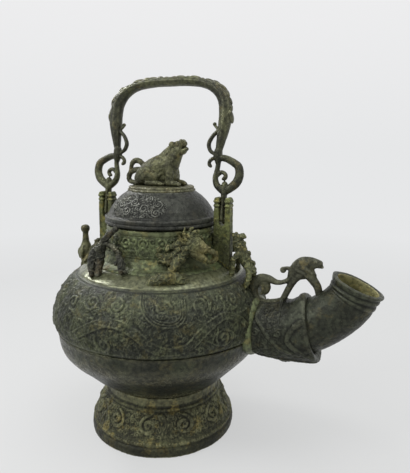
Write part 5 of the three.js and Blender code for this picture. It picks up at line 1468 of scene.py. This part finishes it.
# The lit floor shows through a little near the kettle, for its soft shadow
glow_share = spread(tree, far, 0.15, 0.7, 0.75, 1.0, "LINEAR")
glow_share = maths(tree, "MULTIPLY", glow_share, looked_at(tree))
surface = added(tree, "ShaderNodeMixShader", {0: glow_share, 1: lit.outputs[0], 2: glow.outputs[0]})
wired(tree, tree.nodes["Material Output"], {"Surface": surface.outputs[0]})
floor_mesh = bpy.data.meshes.new("studio_floor")
floor_mesh.from_pydata([(-3, -3, 0), (3, -3, 0), (3, 3, 0), (-3, 3, 0)], [], [(0, 1, 2, 3)])
floor_mesh.materials.append(studio)
in_scene("studio_floor", floor_mesh)

world = bpy.data.worlds.new("studio")
world.use_nodes = True
bpy.context.scene.world = world
tree = world.node_tree
sky = wired(tree, tree.nodes["Background"], {"Color": (1, 1, 1, 1), "Strength": 0.57})
where = added(tree, "ShaderNodeTexCoord")
parts = added(tree, "ShaderNodeSeparateXYZ", {"Vector": where.outputs["Generated"]})
height = spread(tree, parts.outputs["Z"], 0.0, 0.26, course="LINEAR")
backdrop = blend(tree, height, tint("e6e7e8"), tint("ededee"))
seen_sky = added(tree, "ShaderNodeBackground", {"Color": backdrop})
surface = added(tree, "ShaderNodeMixShader", {0: looked_at(tree), 1: sky.outputs[0], 2: seen_sky.outputs[0]})
wired(tree, tree.nodes["World Output"], {"Surface": surface.outputs[0]})


def softbox(name, place, size, power):
    """A square lamp that looks at the belly of the kettle."""
    light = bpy.data.lights.new(name, "AREA")
    light.energy = power
    light.size = size
    lamp = in_scene(name, light)
    lamp.location = place
    lamp.visible_camera = False
    lamp.rotation_euler = (Vector((0, 0, 0.16)) - Vector(place)).to_track_quat("-Z", "Y").to_euler()


softbox("window_left", (-0.75, -0.75, 1.1), 0.5, 9)
softbox("window_behind_left", (-0.97, 0.29, 0.89), 0.26, 6)
softbox("window_top", (0.35, -0.1, 1.5), 1.1, 9)

AZIMUTH = math.radians(28)
CAMERA_REACH = 0.480
CAMERA_HEIGHT = 0.289
# The picture's height and the lens, both in pixels of the photograph
PICTURE_HEIGHT = 473
FOCAL_LENGTH = 480
lens = bpy.data.cameras.new("photograph")
lens.sensor_fit = "VERTICAL"
lens.sensor_height = 24
lens.lens = lens.sensor_height * FOCAL_LENGTH / PICTURE_HEIGHT
lens.clip_start = 0.01
camera = in_scene("photograph", lens)
camera.location = (
    CAMERA_REACH * math.sin(AZIMUTH) + POT_AXIS, -CAMERA_REACH * math.cos(AZIMUTH), CAMERA_HEIGHT)
pitch, yaw, roll = math.radians(10.7), math.radians(5.2), math.radians(0.43)
aim = Euler((math.pi / 2 - pitch, 0, AZIMUTH - yaw)).to_matrix() @ Matrix.Rotation(roll, 3, "Z")
camera.rotation_euler = aim.to_euler()
bpy.context.scene.camera = camera
bpy.context.scene.view_settings.view_transform = "Standard"
